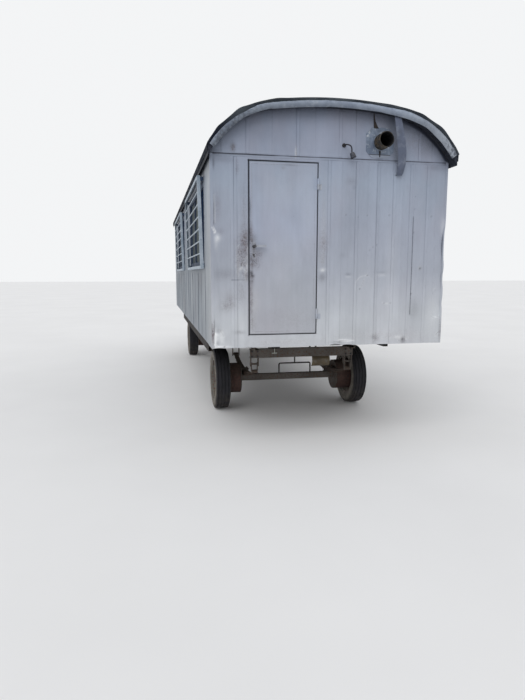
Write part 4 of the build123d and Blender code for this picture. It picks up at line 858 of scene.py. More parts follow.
CLAD = clad_paint("clad_wall", WALL_TONES, doorway=True)
FRONT_PAINT = clad_paint("clad_front", WALL_TONES)
DOOR_PAINT = clad_paint("clad_door", DOOR_TONES, doorway=True)
# The side walls' paint: a darker copy of the wall paint, as painted shade
SHADED_SIDE_PAINT = clad_paint("clad_side_shaded", SIDE_TONES)
FELT_TAR = felt_tar()
ZINC = zinc_sheet("galvanised", (146, 156, 170), (108, 117, 134), 0.18, 0.45, stains=0.25, sheen_and_wear=fascia_sheen_and_wear)
FLUE_ZINC = zinc_sheet("galvanised_flue", (132, 144, 162), (92, 104, 124), 0.8, 0.2, crust=flue_plate_wear)
# A darker copy of the sheet: painted shade on the loose strip under the eave
SHADED_STRIP_ZINC = zinc_sheet("galvanised_strip_shaded", (92, 100, 118), (76, 84, 104), 0.12, 0.2)
DUSTY_ZINC = zinc_sheet("galvanised_dusty", (110, 97, 73), (74, 65, 50), 0.1, 0.1)
GRILLE_PAINT = grille_coat()
GLASS = dirty_glass()
HANDLE_PAINT = handle_paint()
PIPE = stove_pipe()
RUBBER = dusty_rubber()
TIMBER = old_wood("timber", (92, 82, 72), (54, 48, 42))
# A darker, bluer copy of the timber: painted shade under the roof and on the floor bearers
SHADED_WOOD = old_wood("timber_shaded", (36, 42, 56), (17, 21, 31))
# Near-black timber: painted shade in the gap round the door
GAP_SHADE_WOOD = old_wood("timber_gap_shade", (30, 28, 28), (18, 17, 18))
BLACK_STEEL = scaly_rust("fittings_black", (36, 37, 44), (20, 20, 26), 0.05)
# Black for the tar run from the flue, and painted shade for the keyhole and the strap above the flue's plate
SOOT_AND_SHADE = scaly_rust("soot_and_shade", (46, 40, 38), (24, 23, 24), 0.1)
SPRINGS = scaly_rust("spring_steel", (86, 68, 56), (42, 36, 34))
DRUMS = scaly_rust("drum_iron", (86, 58, 50), (50, 36, 36), 0.35)
# Paint, what lies under it, the noise above which it has chipped, roughness, metal, and the chips' rims
SASH_PAINT = worn_paint("sash_paint", (40, 58, 84), (70, 70, 70), 0.64, rust=(40, 50, 62))
HINGE_PAINT = worn_paint("hinge_paint", (162, 168, 179), (104, 100, 104), 0.66, 0.5, 0.15, (120, 118, 124))
FITTINGS = worn_paint("fittings", (52, 52, 56), (88, 64, 50), 0.64, 0.5, 0.4, (72, 58, 52))
LAMP_STEEL = worn_paint("fittings_lamp", (72, 76, 86), (40, 42, 50), 0.53, 0.5, 0.3, (36, 37, 44))
PALE_STEEL = worn_paint("fittings_pale", (196, 200, 192), (120, 112, 100), 0.66, 0.5, 0.2, (150, 150, 136))
CHASSIS = worn_paint("chassis_steel", (100, 95, 90), (98, 74, 60), 0.58, 0.75, 0.1, (78, 64, 56))
RIMS = worn_paint("rim_paint", (116, 116, 111), (98, 70, 54), 0.57, 0.7)
# A darker copy of the chassis paint: painted shade on the side rails and the stirrup
SHADED_RAILS = worn_paint("chassis_steel_shaded", (54, 51, 50), (74, 58, 48), 0.60, 0.8, 0.1, (56, 48, 44))
# Material of each slot of the CAD's pieces, and of the nodes that have one of their own
SLOT_MATERIALS = {
    "clad_wall": CLAD,
    "timber": TIMBER,
    "felt": FELT_TAR,
    "galvanised": ZINC,
    "sash_paint": SASH_PAINT,
    "pane": GLASS,
    "grille_paint": GRILLE_PAINT,
    "fittings": FITTINGS,
    "rusty_pipe": PIPE,
    "chassis_steel": CHASSIS,
    "spring_steel": SPRINGS,
    "drum_iron": DRUMS,
    "rim_paint": RIMS,
    "tyre_rubber": RUBBER,
}
NODE_MATERIALS = {
    "flue_plate": FLUE_ZINC,
    "bent_plate": DUSTY_ZINC,
    "roof": SHADED_WOOD,
    "floor_bearers": SHADED_WOOD,
    "door_frame": GAP_SHADE_WOOD,
    "door_leaf": DOOR_PAINT,
    "door_hinges": HINGE_PAINT,
    "door_handle": HANDLE_PAINT,
    "lamp_bracket": LAMP_STEEL,
    "side_rails": SHADED_RAILS,
    "stirrup": SHADED_RAILS,
}

for node_name, node_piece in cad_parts.items():
    old_name = node_piece.data.materials[0].name.split(".")[0] if node_piece.data.materials else ""
    for material_slot in node_piece.material_slots:
        material_slot.material = NODE_MATERIALS.get(node_name) or SLOT_MATERIALS[old_name]


# Door end

# Place of each upright seam, its lap's height (nought for a cover strip), its dirt, and any ends of its own
REAR_SEAMS = seam_rows((
    (-1.034, 0.0022, 0.20),
    (-0.987, 0, 0.30),
    (-0.905, 0.0012, 0.10),
    (-0.047, 0, 0.22),
    (0.088, 0.0014, 0.22),
    (0.2444, 0, 0.24),
    (0.365, 0.0010, 0.08),
    (0.4716, 0, 0.27),
    (0.6447, 0, 0.20),
    (0.735, 0.0010, 0.08),
    (0.8275, 0, 0.14),
    (0.862, 0.0022, 1.15, 1.36, 2.38),
    (0.862, 0.0006, 0.34, 2.38, SEAM),
    (1.0117, 0, 0.16),
    (1.105, 0.0010, 0.08),
), SKIRT, SEAM)
GABLE_SEAMS = seam_rows((
    (-1.118, 0.0014, 0.25),
    (-0.866, 0, 0.13),
    (-0.625, 0.0014, 0.20),
    (-0.371, 0, 0.22),
    (-0.193, 0.0014, 0.20),
    (0.060, 0, 0.10),
    (0.222, 0.0016, 0.30),
    (0.905, 0, 0.26),
    (1.045, 0.0014, 0.25),
), LAP, CROWN)
# Place, half width and half height of each dent and stain, its depth, dirt, rust and paleness; on dents and at
# the knocked corner the dirt and paleness are partly painted shade and highlights
REAR_MARKS = (
    (-1.16, 2.43, 0.03, 0.14, -0.003, 0.1, 0.2, 0),
    (-1.198, 2.4, 0.01, 0.13, -0.002, 0.34, 0.15, 0),
    (-1.204, 2.275, 0.01, 0.02, -0.004, 0.45, 0.1, 0),
    (-1.163, 2.13, 0.026, 0.034, 0.003, 0, 0, 0.62),
    (-1.176, 2.07, 0.016, 0.05, 0.002, 0, 0, 0.22),
    (-1.13, 2.19, 0.035, 0.035, -0.003, 0.08, 0.12, 0),
    (-0.89, 2.12, 0.035, 0.11, 0, 0.12, 0.62, 0),
    (-0.93, 2.02, 0.05, 0.14, 0, 0.06, 0.42, 0),
    (-0.895, 1.9, 0.04, 0.06, 0, 0.06, 0.35, 0.25),
    (-0.88, 1.77, 0.03, 0.045, -0.001, 0.16, 0.4, 0),
    (-0.9, 2.42, 0.03, 0.2, 0, 0, 0.22, 0),
    (-0.965, 1.86, 0.012, 0.08, 0, 0.1, 0.3, 0.3),
    (-1.045, 1.52, 0.07, 0.075, -0.0015, 0.02, 0.3, 0),
    (-1.09, 1.46, 0.06, 0.04, -0.001, 0.02, 0.22, 0),
    (-0.93, 1.61, 0.045, 0.12, 0, 0.02, 0.2, 0),
    (-1.1, 1.78, 0.11, 0.05, -0.002, 0.12, 0.1, 0),
    (-1.09, 1.95, 0.09, 0.18, 0.002, 0.06, 0, 0.02),
    (-1.18, 1.196, 0.026, 0.014, 0.005, 0, 0, 0.95),
    (-1.196, 1.12, 0.012, 0.05, 0.004, 0, 0, 0.9),
    (-1.212, 1.28, 0.009, 0.08, -0.004, 0.55, 0.45, 0),
    (-1.12, 1.075, 0.08, 0.012, 0.003, 0, 0, 0.8),
    (-1.15, 1.235, 0.03, 0.018, -0.0035, 0.14, 0.15, 0),
    (-0.94, 1.27, 0.05, 0.13, -0.0018, 0, 0, 0.18),
    (-0.95, 1.215, 0.05, 0.02, -0.002, 0.18, 0.15, 0),
    (-0.97, 2.79, 0.018, 0.06, 0, 0.1, 0.25, 0),
    (-0.105, 1.822, 0.022, 0.016, 0.002, 0, 0, 0.5),
    (-0.1, 1.835, 0.036, 0.014, 0.001, 0, 0, 0.22),
    (-0.105, 1.752, 0.036, 0.036, -0.002, 0.24, 0.22, 0),
    (-0.095, 2.08, 0.045, 0.09, 0, 0, 0.26, 0),
    (-0.11, 1.93, 0.03, 0.06, 0, 0, 0.2, 0.1),
    (-0.105, 2.25, 0.035, 0.35, 0, 0, 0.14, 0.12),
    (0.108, 1.969, 0.045, 0.03, -0.002, 0.1, 0, 0),
    (0.169, 1.784, 0.028, 0.014, -0.003, 0.28, 0, 0),
    (0.169, 1.76, 0.03, 0.01, 0.0008, 0, 0, 0.22),
    (0.53, 1.779, 0.05, 0.016, -0.003, 0, 0, 0.22),
    (0.53, 1.806, 0.045, 0.01, 0, 0.16, 0, 0),
    (0.36, 1.73, 0.12, 0.14, -0.0025, 0, 0, 0.1),
    (0.956, 1.845, 0.02, 0.02, -0.002, 0.45, 0, 0.2),
    (0.64, 1.78, 0.06, 0.5, 0, 0, 0, 0.12),
    (1.12, 1.35, 0.08, 0.2, 0, 0, 0, 0.3),
    (0.91, 1.42, 0.05, 0.11, -0.0015, 0.14, 0.08, 0),
    (0.79, 1.1, 0.02, 0.028, -0.004, 0.55, 0.55, 0),
    (0.745, 1.13, 0.06, 0.016, 0.003, 0, 0, 0.55),
    (0.48, 1.13, 0.04, 0.03, 0, 0.16, 0.35, 0),
    (0.15, 1.105, 0.07, 0.014, 0.004, 0, 0, 0.65),
    (0.06, 1.09, 0.06, 0.012, 0, 0.3, 0.2, 0),
    (-0.5, 1.11, 0.32, 0.03, 0, 0, 0.2, 0.25),
    (0.56, 1.15, 0.62, 0.06, 0, 0, 0.12, 0.15),
    (1.196, 2.274, 0.03, 0.09, 0.003, 0, 0, 0.25),
    (0.18, 2.7, 0.06, 0.035, -0.0015, 0.1, 0.1, 0),
    (0.212, 2.64, 0.014, 0.02, -0.001, 0.18, 0.1, 0),
    (0.655, 2.775, 0.012, 0.008, 0, 0.9, 0, 0),
    (-1.09, 2.86, 0.11, 0.03, 0, 0.14, 0.1, 0),
    (1.08, 2.865, 0.1, 0.03, 0, 0.2, 0.1, 0),
    (-1.195, 2.82, 0.012, 0.05, 0, 0.55, 0, 0),
)
GABLE_MARKS = (
    (-1.006, 2.975, 0.022, 0.04, -0.001, 0.34, 0.65, 0),
    (-0.392, 2.952, 0.008, 0.045, 0, 0, 0.22, 0.45),
    (0.56, 3.12, 0.1, 0.12, 0, 0.1, 0.3, 0),
    (0.47, 2.945, 0.03, 0.022, 0, 0.3, 0.3, 0),
    # Painted shadow under the flue plate's foot
    (0.44, 2.957, 0.085, 0.006, 0, 0.6, 0.1, 0),
    (0.64, 3, 0.03, 0.16, 0, 0.16, 0.12, 0),
    (0.82, 3.12, 0.14, 0.14, -0.002, 0.06, 0.22, 0),
    (-0.7, 3.1, 0.18, 0.08, -0.0025, 0.06, 0, 0),
    (0.99, 3.06, 0.1, 0.09, -0.002, 0.1, 0.12, 0),
)
# Place and radius of each knock with a ring round it, its dirt and its ring's paleness, which is a painted
# highlight
REAR_KNOCKS = (
    (0.375, 1.774, 0.013, 0.75, 0.2),
    (0.297, 1.638, 0.018, 0.6, 0.15),
    (0.131, 2.376, 0.01, 0.55, 0.1),
    (0.258, 2.357, 0.01, 0.45, 0.1),
    (0.357, 2.376, 0.008, 0.5, 0.1),
    (0.595, 2.381, 0.009, 0.55, 0.1),
    (1.059, 2.378, 0.012, 0.7, 0.15),
    (0.87, 2.212, 0.01, 0.5, 0.1),
    (0.466, 2.084, 0.009, 0.5, 0.1),
    (0.428, 2.062, 0.008, 0.45, 0.1),
    (0.391, 2.031, 0.008, 0.45, 0.1),
    (0.956, 1.845, 0.02, 0.4, 0.28),
    (0.864, 1.582, 0.018, 0.7, 0.15),
    (1.143, 1.619, 0.022, 0.12, 0.16),
    (0.47, 1.1, 0.012, 0.3, 0.5),
    (0.35, 1.665, 0.105, 0, 0.26),
    (-1.105, 1.075, 0.012, 0.8, 0.1),
)
# Height of the long scratch beside the lock, which has a grid line of its own
SCRATCH_Z = 1.731
# Two ends, half width, depth, dirt and paleness of each crease and scratch; a crease's paleness is a painted
# highlight
REAR_CREASES = (
    (-1.224, 2.246, -1.19, 2.188, 0.006, 0.0045, -0.3, 0.95),
    (-1.192, 2.28, -1.186, 2.53, 0.004, 0.002, 0, 0.22),
    (0.31, 1.655, 0.345, 1.735, 0.003, -0.0008, 0.25, 0.15),
    (0.545, 1.495, 0.59, 1.482, 0.003, -0.001, 0.28, 0.25),
    (0.59, 1.482, 0.645, 1.49, 0.003, -0.001, 0.28, 0.25),
    (1.12, 1.33, 1.205, 1.345, 0.004, -0.0012, 0.1, 0.45),
    (1.165, 1.135, 1.205, 1.19, 0.004, -0.0015, 0.4, 0.4),
    (-1.206, 1.205, -1.2, 1.07, 0.006, 0.005, -0.3, 0.95),
    (-1.2, 1.1, -1.17, 1.065, 0.006, 0.003, 0, 0.7),
    (-1.21, 1.33, -1.214, 1.19, 0.006, -0.003, 0.75, 0),
    (-1.15, 1.245, -1.11, 1.18, 0.005, -0.003, 0.18, 0.2),
    (0.74, 1.095, 0.85, 1.12, 0.004, -0.002, 0.15, 0.45),
    (-1.03, SCRATCH_Z, -0.865, 1.728, 0.003, -0.0008, 0.45, 0.15),
    (0.085, 1.11, 0.235, 1.1, 0.005, 0.003, 0.2, 0.55),
)
# Start and end of each bent stretch of the skirt's edge, its lift and its way out
SKIRT_BENDS = (
    (-0.02, 0.11, 0.02, 0.004),
    (0.11, 0.24, 0.008, 0.009),
    (-1.225, -1.1, 0.006, 0.006),
    (-0.9, -0.82, 0.004, 0.003),
    (0.38, 0.52, 0.004, 0.003),
)
# Which corner of the door end is knocked in, at what height, how far, and over what half height
CORNER_DENTS = (
    (-1, 2.38, 0.01, 0.11),
    (-1, 1.22, 0.006, 0.09),
    (1, 2.09, 0.018, 0.13),
    (1, 1.74, 0.007, 0.08),
    (1, 1.48, 0.005, 0.06),
)


def corner_dent(side, z):
    """How far a corner of the door end is knocked in at a height."""
    return sum(depth * bell(z - height, half) for at, height, depth, half in CORNER_DENTS if at == side)


def rear_spot(u, v, depth):
    """Place on the lower door-end wall, whose corners are dented and whose skirt is bent here and there."""
    point = Vector((u, BACK + depth, v))
    near_corner = max(0.0, 1 - (HALF - abs(u)) / 0.06)
    if near_corner and depth <= 0.01:
        side = math.copysign(1, u)
        dent = corner_dent(side, v)
        point.x -= side * dent * near_corner
        point.y += dent * near_corner ** 2
    near_foot = max(0.0, 1 - (v - SKIRT) / 0.06)
    if near_foot and depth <= 0.01:
        for start, end, lift, out in SKIRT_BENDS:
            if start < u < end:
                bend = math.sin(math.pi * (u - start) / (end - start)) * near_foot ** 2
                point.z += lift * bend
                point.y -= out * bend
        point.z += 0.0016 * abs(wave(u * 26, 3)) * near_foot
    return point


# How far the sheet is flat round the doorway, and middles of the crumpled corner and of the frayed paint
DOOR_FLAT = 0.030
CRUMPLE_X, CRUMPLE_Z = -1.170, 1.150
FRAYED_X, FRAYED_Z = -0.915, 1.920


def make_rear_wall():
    """The lower cladding of the door end, round the doorway."""
    us = grid_lines(-HALF, HALF, REAR_GRID, seam_lines(REAR_SEAMS) + [DOOR_LEFT, DOOR_RIGHT])
    stops = [SKIRT + 0.004, SCRATCH_Z, DOOR_BOTTOM, DOOR_TOP, PANEL_TOP - 0.006]
    vs = grid_lines(SKIRT, PANEL_TOP, REAR_GRID, stops)
    surface = Surface(us, vs)
    surface.age(REAR_SEAMS, REAR_MARKS, 11.0)
    for knock in REAR_KNOCKS:
        surface.knock(*knock)
    for crease in REAR_CREASES:
        surface.crease(*crease)

    # The sheet is held flat round the doorway
    aside = np.clip(np.maximum(DOOR_LEFT - surface.u, surface.u - DOOR_RIGHT), 0, None)
    beyond = np.clip(np.maximum(DOOR_BOTTOM - surface.v, surface.v - DOOR_TOP), 0, None)
    surface.relief *= share(np.hypot(aside, beyond), DOOR_FLAT, 2 * DOOR_FLAT)
    surface.level_line(PANEL_TOP, 0.004, 0.10, -HALF, HALF, 2.0)

    # Crumpled foot of the left corner, with painted highlights on its bumps and painted shade in its hollows
    corner = bell(surface.u - CRUMPLE_X, 0.07) * bell(surface.v - CRUMPLE_Z, 0.12)
    crumple = corner * surface.noise(0.05, 0.06, 4.2)
    surface.relief += 0.008 * crumple
    surface.pale += np.clip(1.3 * crumple, 0, 0.6)
    surface.dirt += np.clip(-0.5 * crumple, 0, 0.25)

    # Frayed paint beside the lock
    frayed = bell(surface.u - FRAYED_X, 0.065) * bell(surface.v - FRAYED_Z, 0.17)
    surface.rust += frayed * np.clip(surface.noise(0.022, 0.035, 8.8), 0, 1) * 0.9
    surface.pale += frayed * np.clip(surface.noise(0.026, 0.05, 3.3) - 0.1, 0, 1) * 1.3

    # Painted shade along the doorway's left and top edges, where its gap is dark
    beside = (surface.v > DOOR_BOTTOM - 0.002) & (surface.v < DOOR_TOP + 0.002)
    above = (surface.u > DOOR_LEFT - 0.002) & (surface.u < DOOR_RIGHT + 0.002)
    surface.dirt += 0.85 * beside * bell(surface.u - DOOR_LEFT, 0.005)
    leftward = 0.4 + 0.6 * share(surface.u, DOOR_RIGHT, DOOR_LEFT)
    surface.dirt += leftward * above * bell(surface.v - DOOR_TOP, 0.005)
    opening = (DOOR_LEFT, DOOR_RIGHT, DOOR_BOTTOM, DOOR_TOP)
    clad_panel(
        "rear_cladding", surface, rear_spot, CLAD, "wagon", WALL, holes=[opening], stands_for=["rear_wall"],
    )


def gable_spot(u, v, depth):
    """Place on the gable, whose sheets lap over the cover strip at its foot in a slightly uneven edge."""
    point = Vector((u, BACK + depth, v))
    near_lap = max(0.0, 1 - abs(v - LAP) / 0.03)
    if near_lap and depth < 0.01:
        if v > LAP - 0.0005:
            point.y -= 0.0036 * near_lap ** 0.5
        point.z += 0.0014 * wave(u * 9, 5) * near_lap
    return point


def make_gable():
    """The gable's cladding, with the flue's hole, painted shade under the eave and in a navy-black band under
    the right eave, and a painted shadow under the lap at its foot.
    """
    level = LAP + 0.006
    us = grid_lines(-HALF, HALF, GABLE_GRID, seam_lines(GABLE_SEAMS))
    stops = [GABLE_FOOT + 0.004, LAP - 0.006, LAP - 0.0006, LAP + 0.0006, level]
    vs = grid_lines(GABLE_FOOT, arch_height(0.0), GABLE_GRID, stops)
    surface = Surface(us, vs, top=arch_height, level=level)
    surface.age(GABLE_SEAMS, GABLE_MARKS, 31.0)
    off_flue = share(np.hypot(surface.u - FLUE_X, surface.v - FLUE_Z), 0.16, 0.22)
    surface.relief = np.minimum(surface.relief, 0.0045) * off_flue
    # Painted shade under the eave, deeper to the right
    rightward = np.clip(surface.u, 0, 1)
    below_top = surface.top - surface.v
    under_eave = np.clip(np.exp(-below_top / (0.045 + 0.030 * rightward)), 0, 1)
    surface.dirt += (0.62 + 0.25 * rightward) * under_eave
    # Painted shade: a navy-black band under the right eave, where its underside shows
    slope = np.clip((np.abs(surface.u) - SHOULDER_X) / (SHOULDER_RADIUS - LINING), 0, 0.95)
    below_arch = below_top * np.sqrt(1 - slope ** 2)
    soffit = share(surface.u, 0.62, 0.82) * share(below_arch, 0.042, 0.026)
    soffit *= share(surface.v, LAP, LAP + 0.02)
    surface.dirt += 0.30 * soffit
    surface.old_paint_and_shade += 0.90 * soffit
    # Painted shadow under the sheets' lapped foot, deeper on the left
    surface.level_line(LAP, 0.0042, 1.45, -HALF, HALF, 2.0)
    surface.level_line(LAP, 0.0060, 0.60, -HALF, -0.60, 5.0)
    clad_panel(
        "gable_cladding", surface, gable_spot, CLAD, "wagon", WALL,
        bore=(FLUE_X, FLUE_Z, FLUE_RADIUS + 0.0003), stands_for=["rear_gable"],
    )


DOOR_HEM = 0.025
DOOR_SKIN = 0.0012
# The same columns as the marks of the wall
DOOR_MARKS = (
    (-0.515, 2.802, 0.02, 0.014, -0.0006, 0.32, 0.1, 0.15),
    (-0.46, 2.835, 0.06, 0.01, 0, 0.22, 0.1, 0),
    (-0.806, 2.135, 0.035, 0.045, -0.0006, 0.24, 0.1, 0),
    (-0.826, 1.93, 0.022, 0.06, 0, 0.34, 0.45, 0),
    (-0.79, 1.905, 0.05, 0.06, 0, 0.06, 0.55, 0),
    (-0.838, 1.62, 0.016, 0.24, 0, 0.04, 0.55, 0),
    (-0.832, 2.14, 0.02, 0.11, 0, 0.04, 0.6, 0),
    (-0.76, 1.985, 0.04, 0.045, 0, 0.08, 0.42, 0),
    (-0.815, 2.11, 0.025, 0.03, 0, 0.2, 0.2, 0.15),
    (-0.832, 1.8, 0.012, 0.02, -0.0008, 0.85, 0.3, 0),
    (-0.818, 1.77, 0.016, 0.012, -0.0008, 0.7, 0.45, 0),
    (-0.826, 1.74, 0.02, 0.05, 0, 0.2, 0.3, 0),
    (-0.843, 2.42, 0.008, 0.09, 0, 0.45, 0.1, 0),
    (-0.843, 2.2, 0.01, 0.12, 0, 0.4, 0.2, 0),
    (-0.8, 1.5, 0.04, 0.12, 0, 0.06, 0.1, 0.25),
    (-0.82, 1.3, 0.03, 0.1, 0, 0.05, 0.22, 0.2),
    (-0.5, 1.9, 0.2, 0.32, 0.0006, 0, 0, 0.1),
    (-0.51, 2.6, 0.24, 0.2, 0, 0, 0, 0.08),
    (-0.4, 1.33, 0.22, 0.12, 0, 0, 0.12, 0.05),
    (-0.25, 2.3, 0.08, 0.4, 0.0004, 0, 0, 0.08),
)


def door_lines(low, high):
    """Grid lines between two edges of the door, with fine ones at its hems."""
    hems = [hem + step for hem in (low + DOOR_HEM, high - DOOR_HEM) for step in (-0.005, 0, 0.005)]
    return grid_lines(low, high, DOOR_GRID, hems)


def make_door_skin():
    """Thin sheet on the door leaf, hemmed along its edges."""
    left, right = DOOR_LEFT + DOOR_GAP, DOOR_RIGHT - DOOR_GAP
    low, high = DOOR_BOTTOM + DOOR_GAP, DOOR_TOP - DOOR_GAP
    surface = Surface(door_lines(left, right), door_lines(low, high))
    surface.ripple(0.0009, 0.30, 0.50, 51.0)
    surface.ripple(0.0005, 0.09, 0.21, 54.0)
    for mark in DOOR_MARKS:
        surface.mark(*mark)
    aside = np.minimum(surface.u - left, right - surface.u)
    border = np.minimum(aside, np.minimum(surface.v - low, high - surface.v))
    worn = 0.6 + 0.6 * surface.noise(0.2, 0.2, 4.0)
    surface.pale += 0.12 * bell(border - DOOR_HEM + 0.008, 0.006) * worn
    surface.rust += 0.42 * bell(border - DOOR_HEM, 0.003) * worn
    surface.dirt += 0.75 * bell(border, 0.005)
    surface.relief = np.clip(surface.relief + 0.0008, 0.0, 0.0022) + 0.0006 * (border < DOOR_HEM)

    def spot(u, v, depth):
        return Vector((u, BACK - DOOR_SKIN / 2 + depth, v))

    clad_panel("door_skin", surface, spot, DOOR_PAINT, "door", DOOR_SKIN, edge=0.001)


def make_keyhole():
    """The dark keyhole in the lock plate: two black domes, painted shade for the hole's inside."""
    mesh = bmesh.new()
    for rise in (-0.006, 0.006):
        centre = Vector((HANDLE_X, BACK - LOCK_PLATE, HANDLE_Z - KEYHOLE_DROP + rise))
        add_dome(mesh, centre, OUTWARD, 0.0072, 0.0016, 12)
    finish_mesh(mesh, "door_keyhole", SOOT_AND_SHADE, "door")


# Start and end of each length of the fascia, how far its lower edge drops, its step out and its crumpling
FASCIA_LENGTHS = (
    (-1.254, -0.96, 0.004, 0, 0.6),
    (-0.99, -0.645, 0, 0.0016, 0.4),
    (-0.665, -0.12, 0.006, 0, 0.3),
    (-0.15, 0.47, 0.002, 0.0016, 0.5),
    (0.43, 0.96, 0.004, 0, 0.6),
    (0.92, 1.254, 0.008, 0.0016, 1.6),
)
# Share of the way down the fascia, and how far its rounded section stands out there
FASCIA_SECTION = (
    (0, 0.0015),
    (0.12, 0.006),
    (0.28, 0.0095),
    (0.45, 0.01),
    (0.62, 0.008),
    (0.78, 0.0045),
    (0.9, 0.001),
    (1, -0.003),
)
FASCIA_THICK = 0.0022


def make_fascia(name, face, out, stands_for):
    """Lapped lengths of flashing bent round the roof's end; out is the way they face, -1 or 1 along Y."""
    mesh = bmesh.new()
    for number, (start, end, drop, step, crumple) in enumerate(FASCIA_LENGTHS):
        first, last = arch_length(start, FELT), arch_length(end, FELT)
        (x0, z0), (x1, z1) = (arch_point(along, FELT + FASCIA_DEPTH) for along in (first, last))

        def place(along, part):
            level, bulge = part
            x, z = arch_point(along, FELT + FASCIA_DEPTH)
            rise = 0.30 * (z0 + (z1 - z0) * (x - x0) / (x1 - x0) - z)
            px, pz = arch_point(along, FELT + FASCIA_DEPTH * level)
            sag = (drop + 0.0030 * wave(along * 7, number) * crumple) * level ** 2
            pz += rise * level ** 2 - sag
            swell = math.sin(math.pi * min(1, level + 0.1))
            dent = 0.0032 * crumple * wave(along * 11 + level * 2.6, number + 4) * swell
            lean = step + max(-0.0030, bulge + dent)
            return Vector((px, face + out * lean, pz)), Vector((px, face + out * (lean - FASCIA_THICK), pz))

        alongs = np.linspace(first, last, max(8, round((last - first) / 0.016)))
        add_sheet(mesh, alongs, FASCIA_SECTION, place)
    flashing = finish_mesh(mesh, name, ZINC, "wagon", sharp=40, stands_for=stands_for)
    # Each point's share of the way down the section, which the material reads for the painted highlight and
    # shade
    levels = [level for level, _ in FASCIA_SECTION]
    paint_points(flashing, "level", [levels[n % len(levels)] for n in range(len(flashing.data.vertices))])


# Place along the arch, height and half width of each lump of the felt over the door end's shoulders
FELT_LUMPS = (
    (1.12, 0.013, 0.09),
    (0.86, 0.006, 0.06),
    (0.52, 0.004, 0.08),
    (-0.6, 0.006, 0.07),
    (-0.98, 0.013, 0.07),
    (-1.24, 0.007, 0.05),
)
FELT_START, FELT_END = BACK - OVERHANG - FASCIA_SHEET, FRONT + OVERHANG + FASCIA_SHEET
FIRST_LAP, FELT_SHEET = 0.62, 0.94
FELT_LAPS = [FELT_START + FIRST_LAP + FELT_SHEET * n for n in range(8)]
FELT_REACH = arch_length(FELT_HALF)


def felt_lump(along):
    """How far the felt stands up at a length along the arch of the door end."""
    return sum(height * bell(along - place, half) for place, height, half in FELT_LUMPS)


def felt_top(y, along):
    """Points of the lapped, wrinkled felt over the roof."""
    lap = max((lap for lap in FELT_LAPS if lap <= y), default=FELT_START)
    wander = 0.010 * wave(along * 4, lap)
    fall = share(y - lap - wander, 0.0, 0.30)
    crease = 0.0018 * (0.5 + 0.5 * noise.noise(Vector((along * 7, y * 2.5, 1.0))))
    crease += 0.0010 * (0.5 + 0.5 * noise.noise(Vector((along * 22, y * 9, 4.0))))
    lump = felt_lump(along) * max(0.0, 1 - (y - FELT_START) / 0.30)
    return arch_spot(along, 0.0004 + 0.0022 * fall + crease - lump, y), arch_spot(along, FELT - 0.0004, y)


def felt_end(along, level, edge_y, out, seed):
    """Points of the felt's torn end, which curls over a fascia; level is 0 at the roof and 1 at the tear."""
    ragged = 1.0 + 1.4 * share(-out * along, 0.75, 1.10)
    torn = 0.022 + 0.007 * wave(along * 3.1, seed)
    torn += ragged * (0.004 * wave(along * 17, seed + 1) + 0.002 * wave(along * 60, seed))
    torn = max(0.010, torn + 0.012 * bell(out * along - 0.95, 0.22))
    lump = ragged * 0.0035 * (1 + wave(along * 9, seed + 3))
    curl = 0.0035 + (0.0060 + lump) * math.sin(math.pi * (0.15 + 0.75 * level))
    raised = felt_lump(along) if out < 0 else 0.0
    outer = arch_spot(along, 0.0008 + torn * level - raised * (1 - level), edge_y + out * (curl + 0.0030))
    return outer, arch_spot(along, 0.0040 + torn * level, edge_y + out * (curl - 0.0010))


def felt_eave(y, level, side):
    """Points of the felt that hangs over an eave; level is 0 at the roof and 1 at the tear."""
    torn = 0.064 + 0.010 * wave(y * 2.1, side) + 0.006 * wave(y * 13, side + 3)
    tuck = 0.0012 + 0.0022 * level * (1 + wave(y * 6 + 2 * level, side + 5))
    z = arch_point(FELT_REACH, 0.0)[1] - 0.0012 - torn * level
    outer = Vector((side * (FELT_HALF - 0.0006 - tuck), y, z))
    return outer, Vector((side * (FELT_HALF - 0.0038 - tuck), y, z))


def make_felt():
    """The roof's felt: lapped sheets with wrinkles, and their ragged ends over the fascias and eaves."""
    mesh = bmesh.new()
    lap_edges = [lap + step for lap in FELT_LAPS for step in (-0.004, 0.004)]
    ys = grid_lines(FELT_START, FELT_END, 0.045, lap_edges)
    add_sheet(mesh, ys, grid_lines(-FELT_REACH, FELT_REACH, 0.028), felt_top)
    for end in ((FELT_START, -1, 1.0), (FELT_END, 1, 6.0)):
        alongs = grid_lines(-FELT_REACH, FELT_REACH, 0.012)
        add_sheet(mesh, alongs, steps(5), lambda along, level: felt_end(along, level, *end))
    ys = grid_lines(FELT_START, FELT_END, 0.04)
    for side in (-1, 1):
        add_sheet(mesh, ys, steps(4), lambda y, level: felt_eave(y, level, side))
    felt = finish_mesh(mesh, "felt_sheets", FELT_TAR, "wagon", sharp=50, stands_for=["roof_felt"])
    near_lap = [min(abs(vertex.co.y - lap) for lap in FELT_LAPS) < 0.005 for vertex in felt.data.vertices]
    paint_points(felt, "lap", near_lap)


# Height, left and right edge of the loose strip, from its top to its foot
LOOSE_OUTLINE = (
    (3.33, 0.575, 0.642),
    (3.296, 0.577, 0.647),
    (3.2, 0.592, 0.672),
    (3.094, 0.61, 0.7),
    (3, 0.628, 0.718),
    (2.93, 0.64, 0.726),
    (2.86, 0.648, 0.727),
    (2.8, 0.652, 0.718),
    (2.7705, 0.654, 0.706),
)


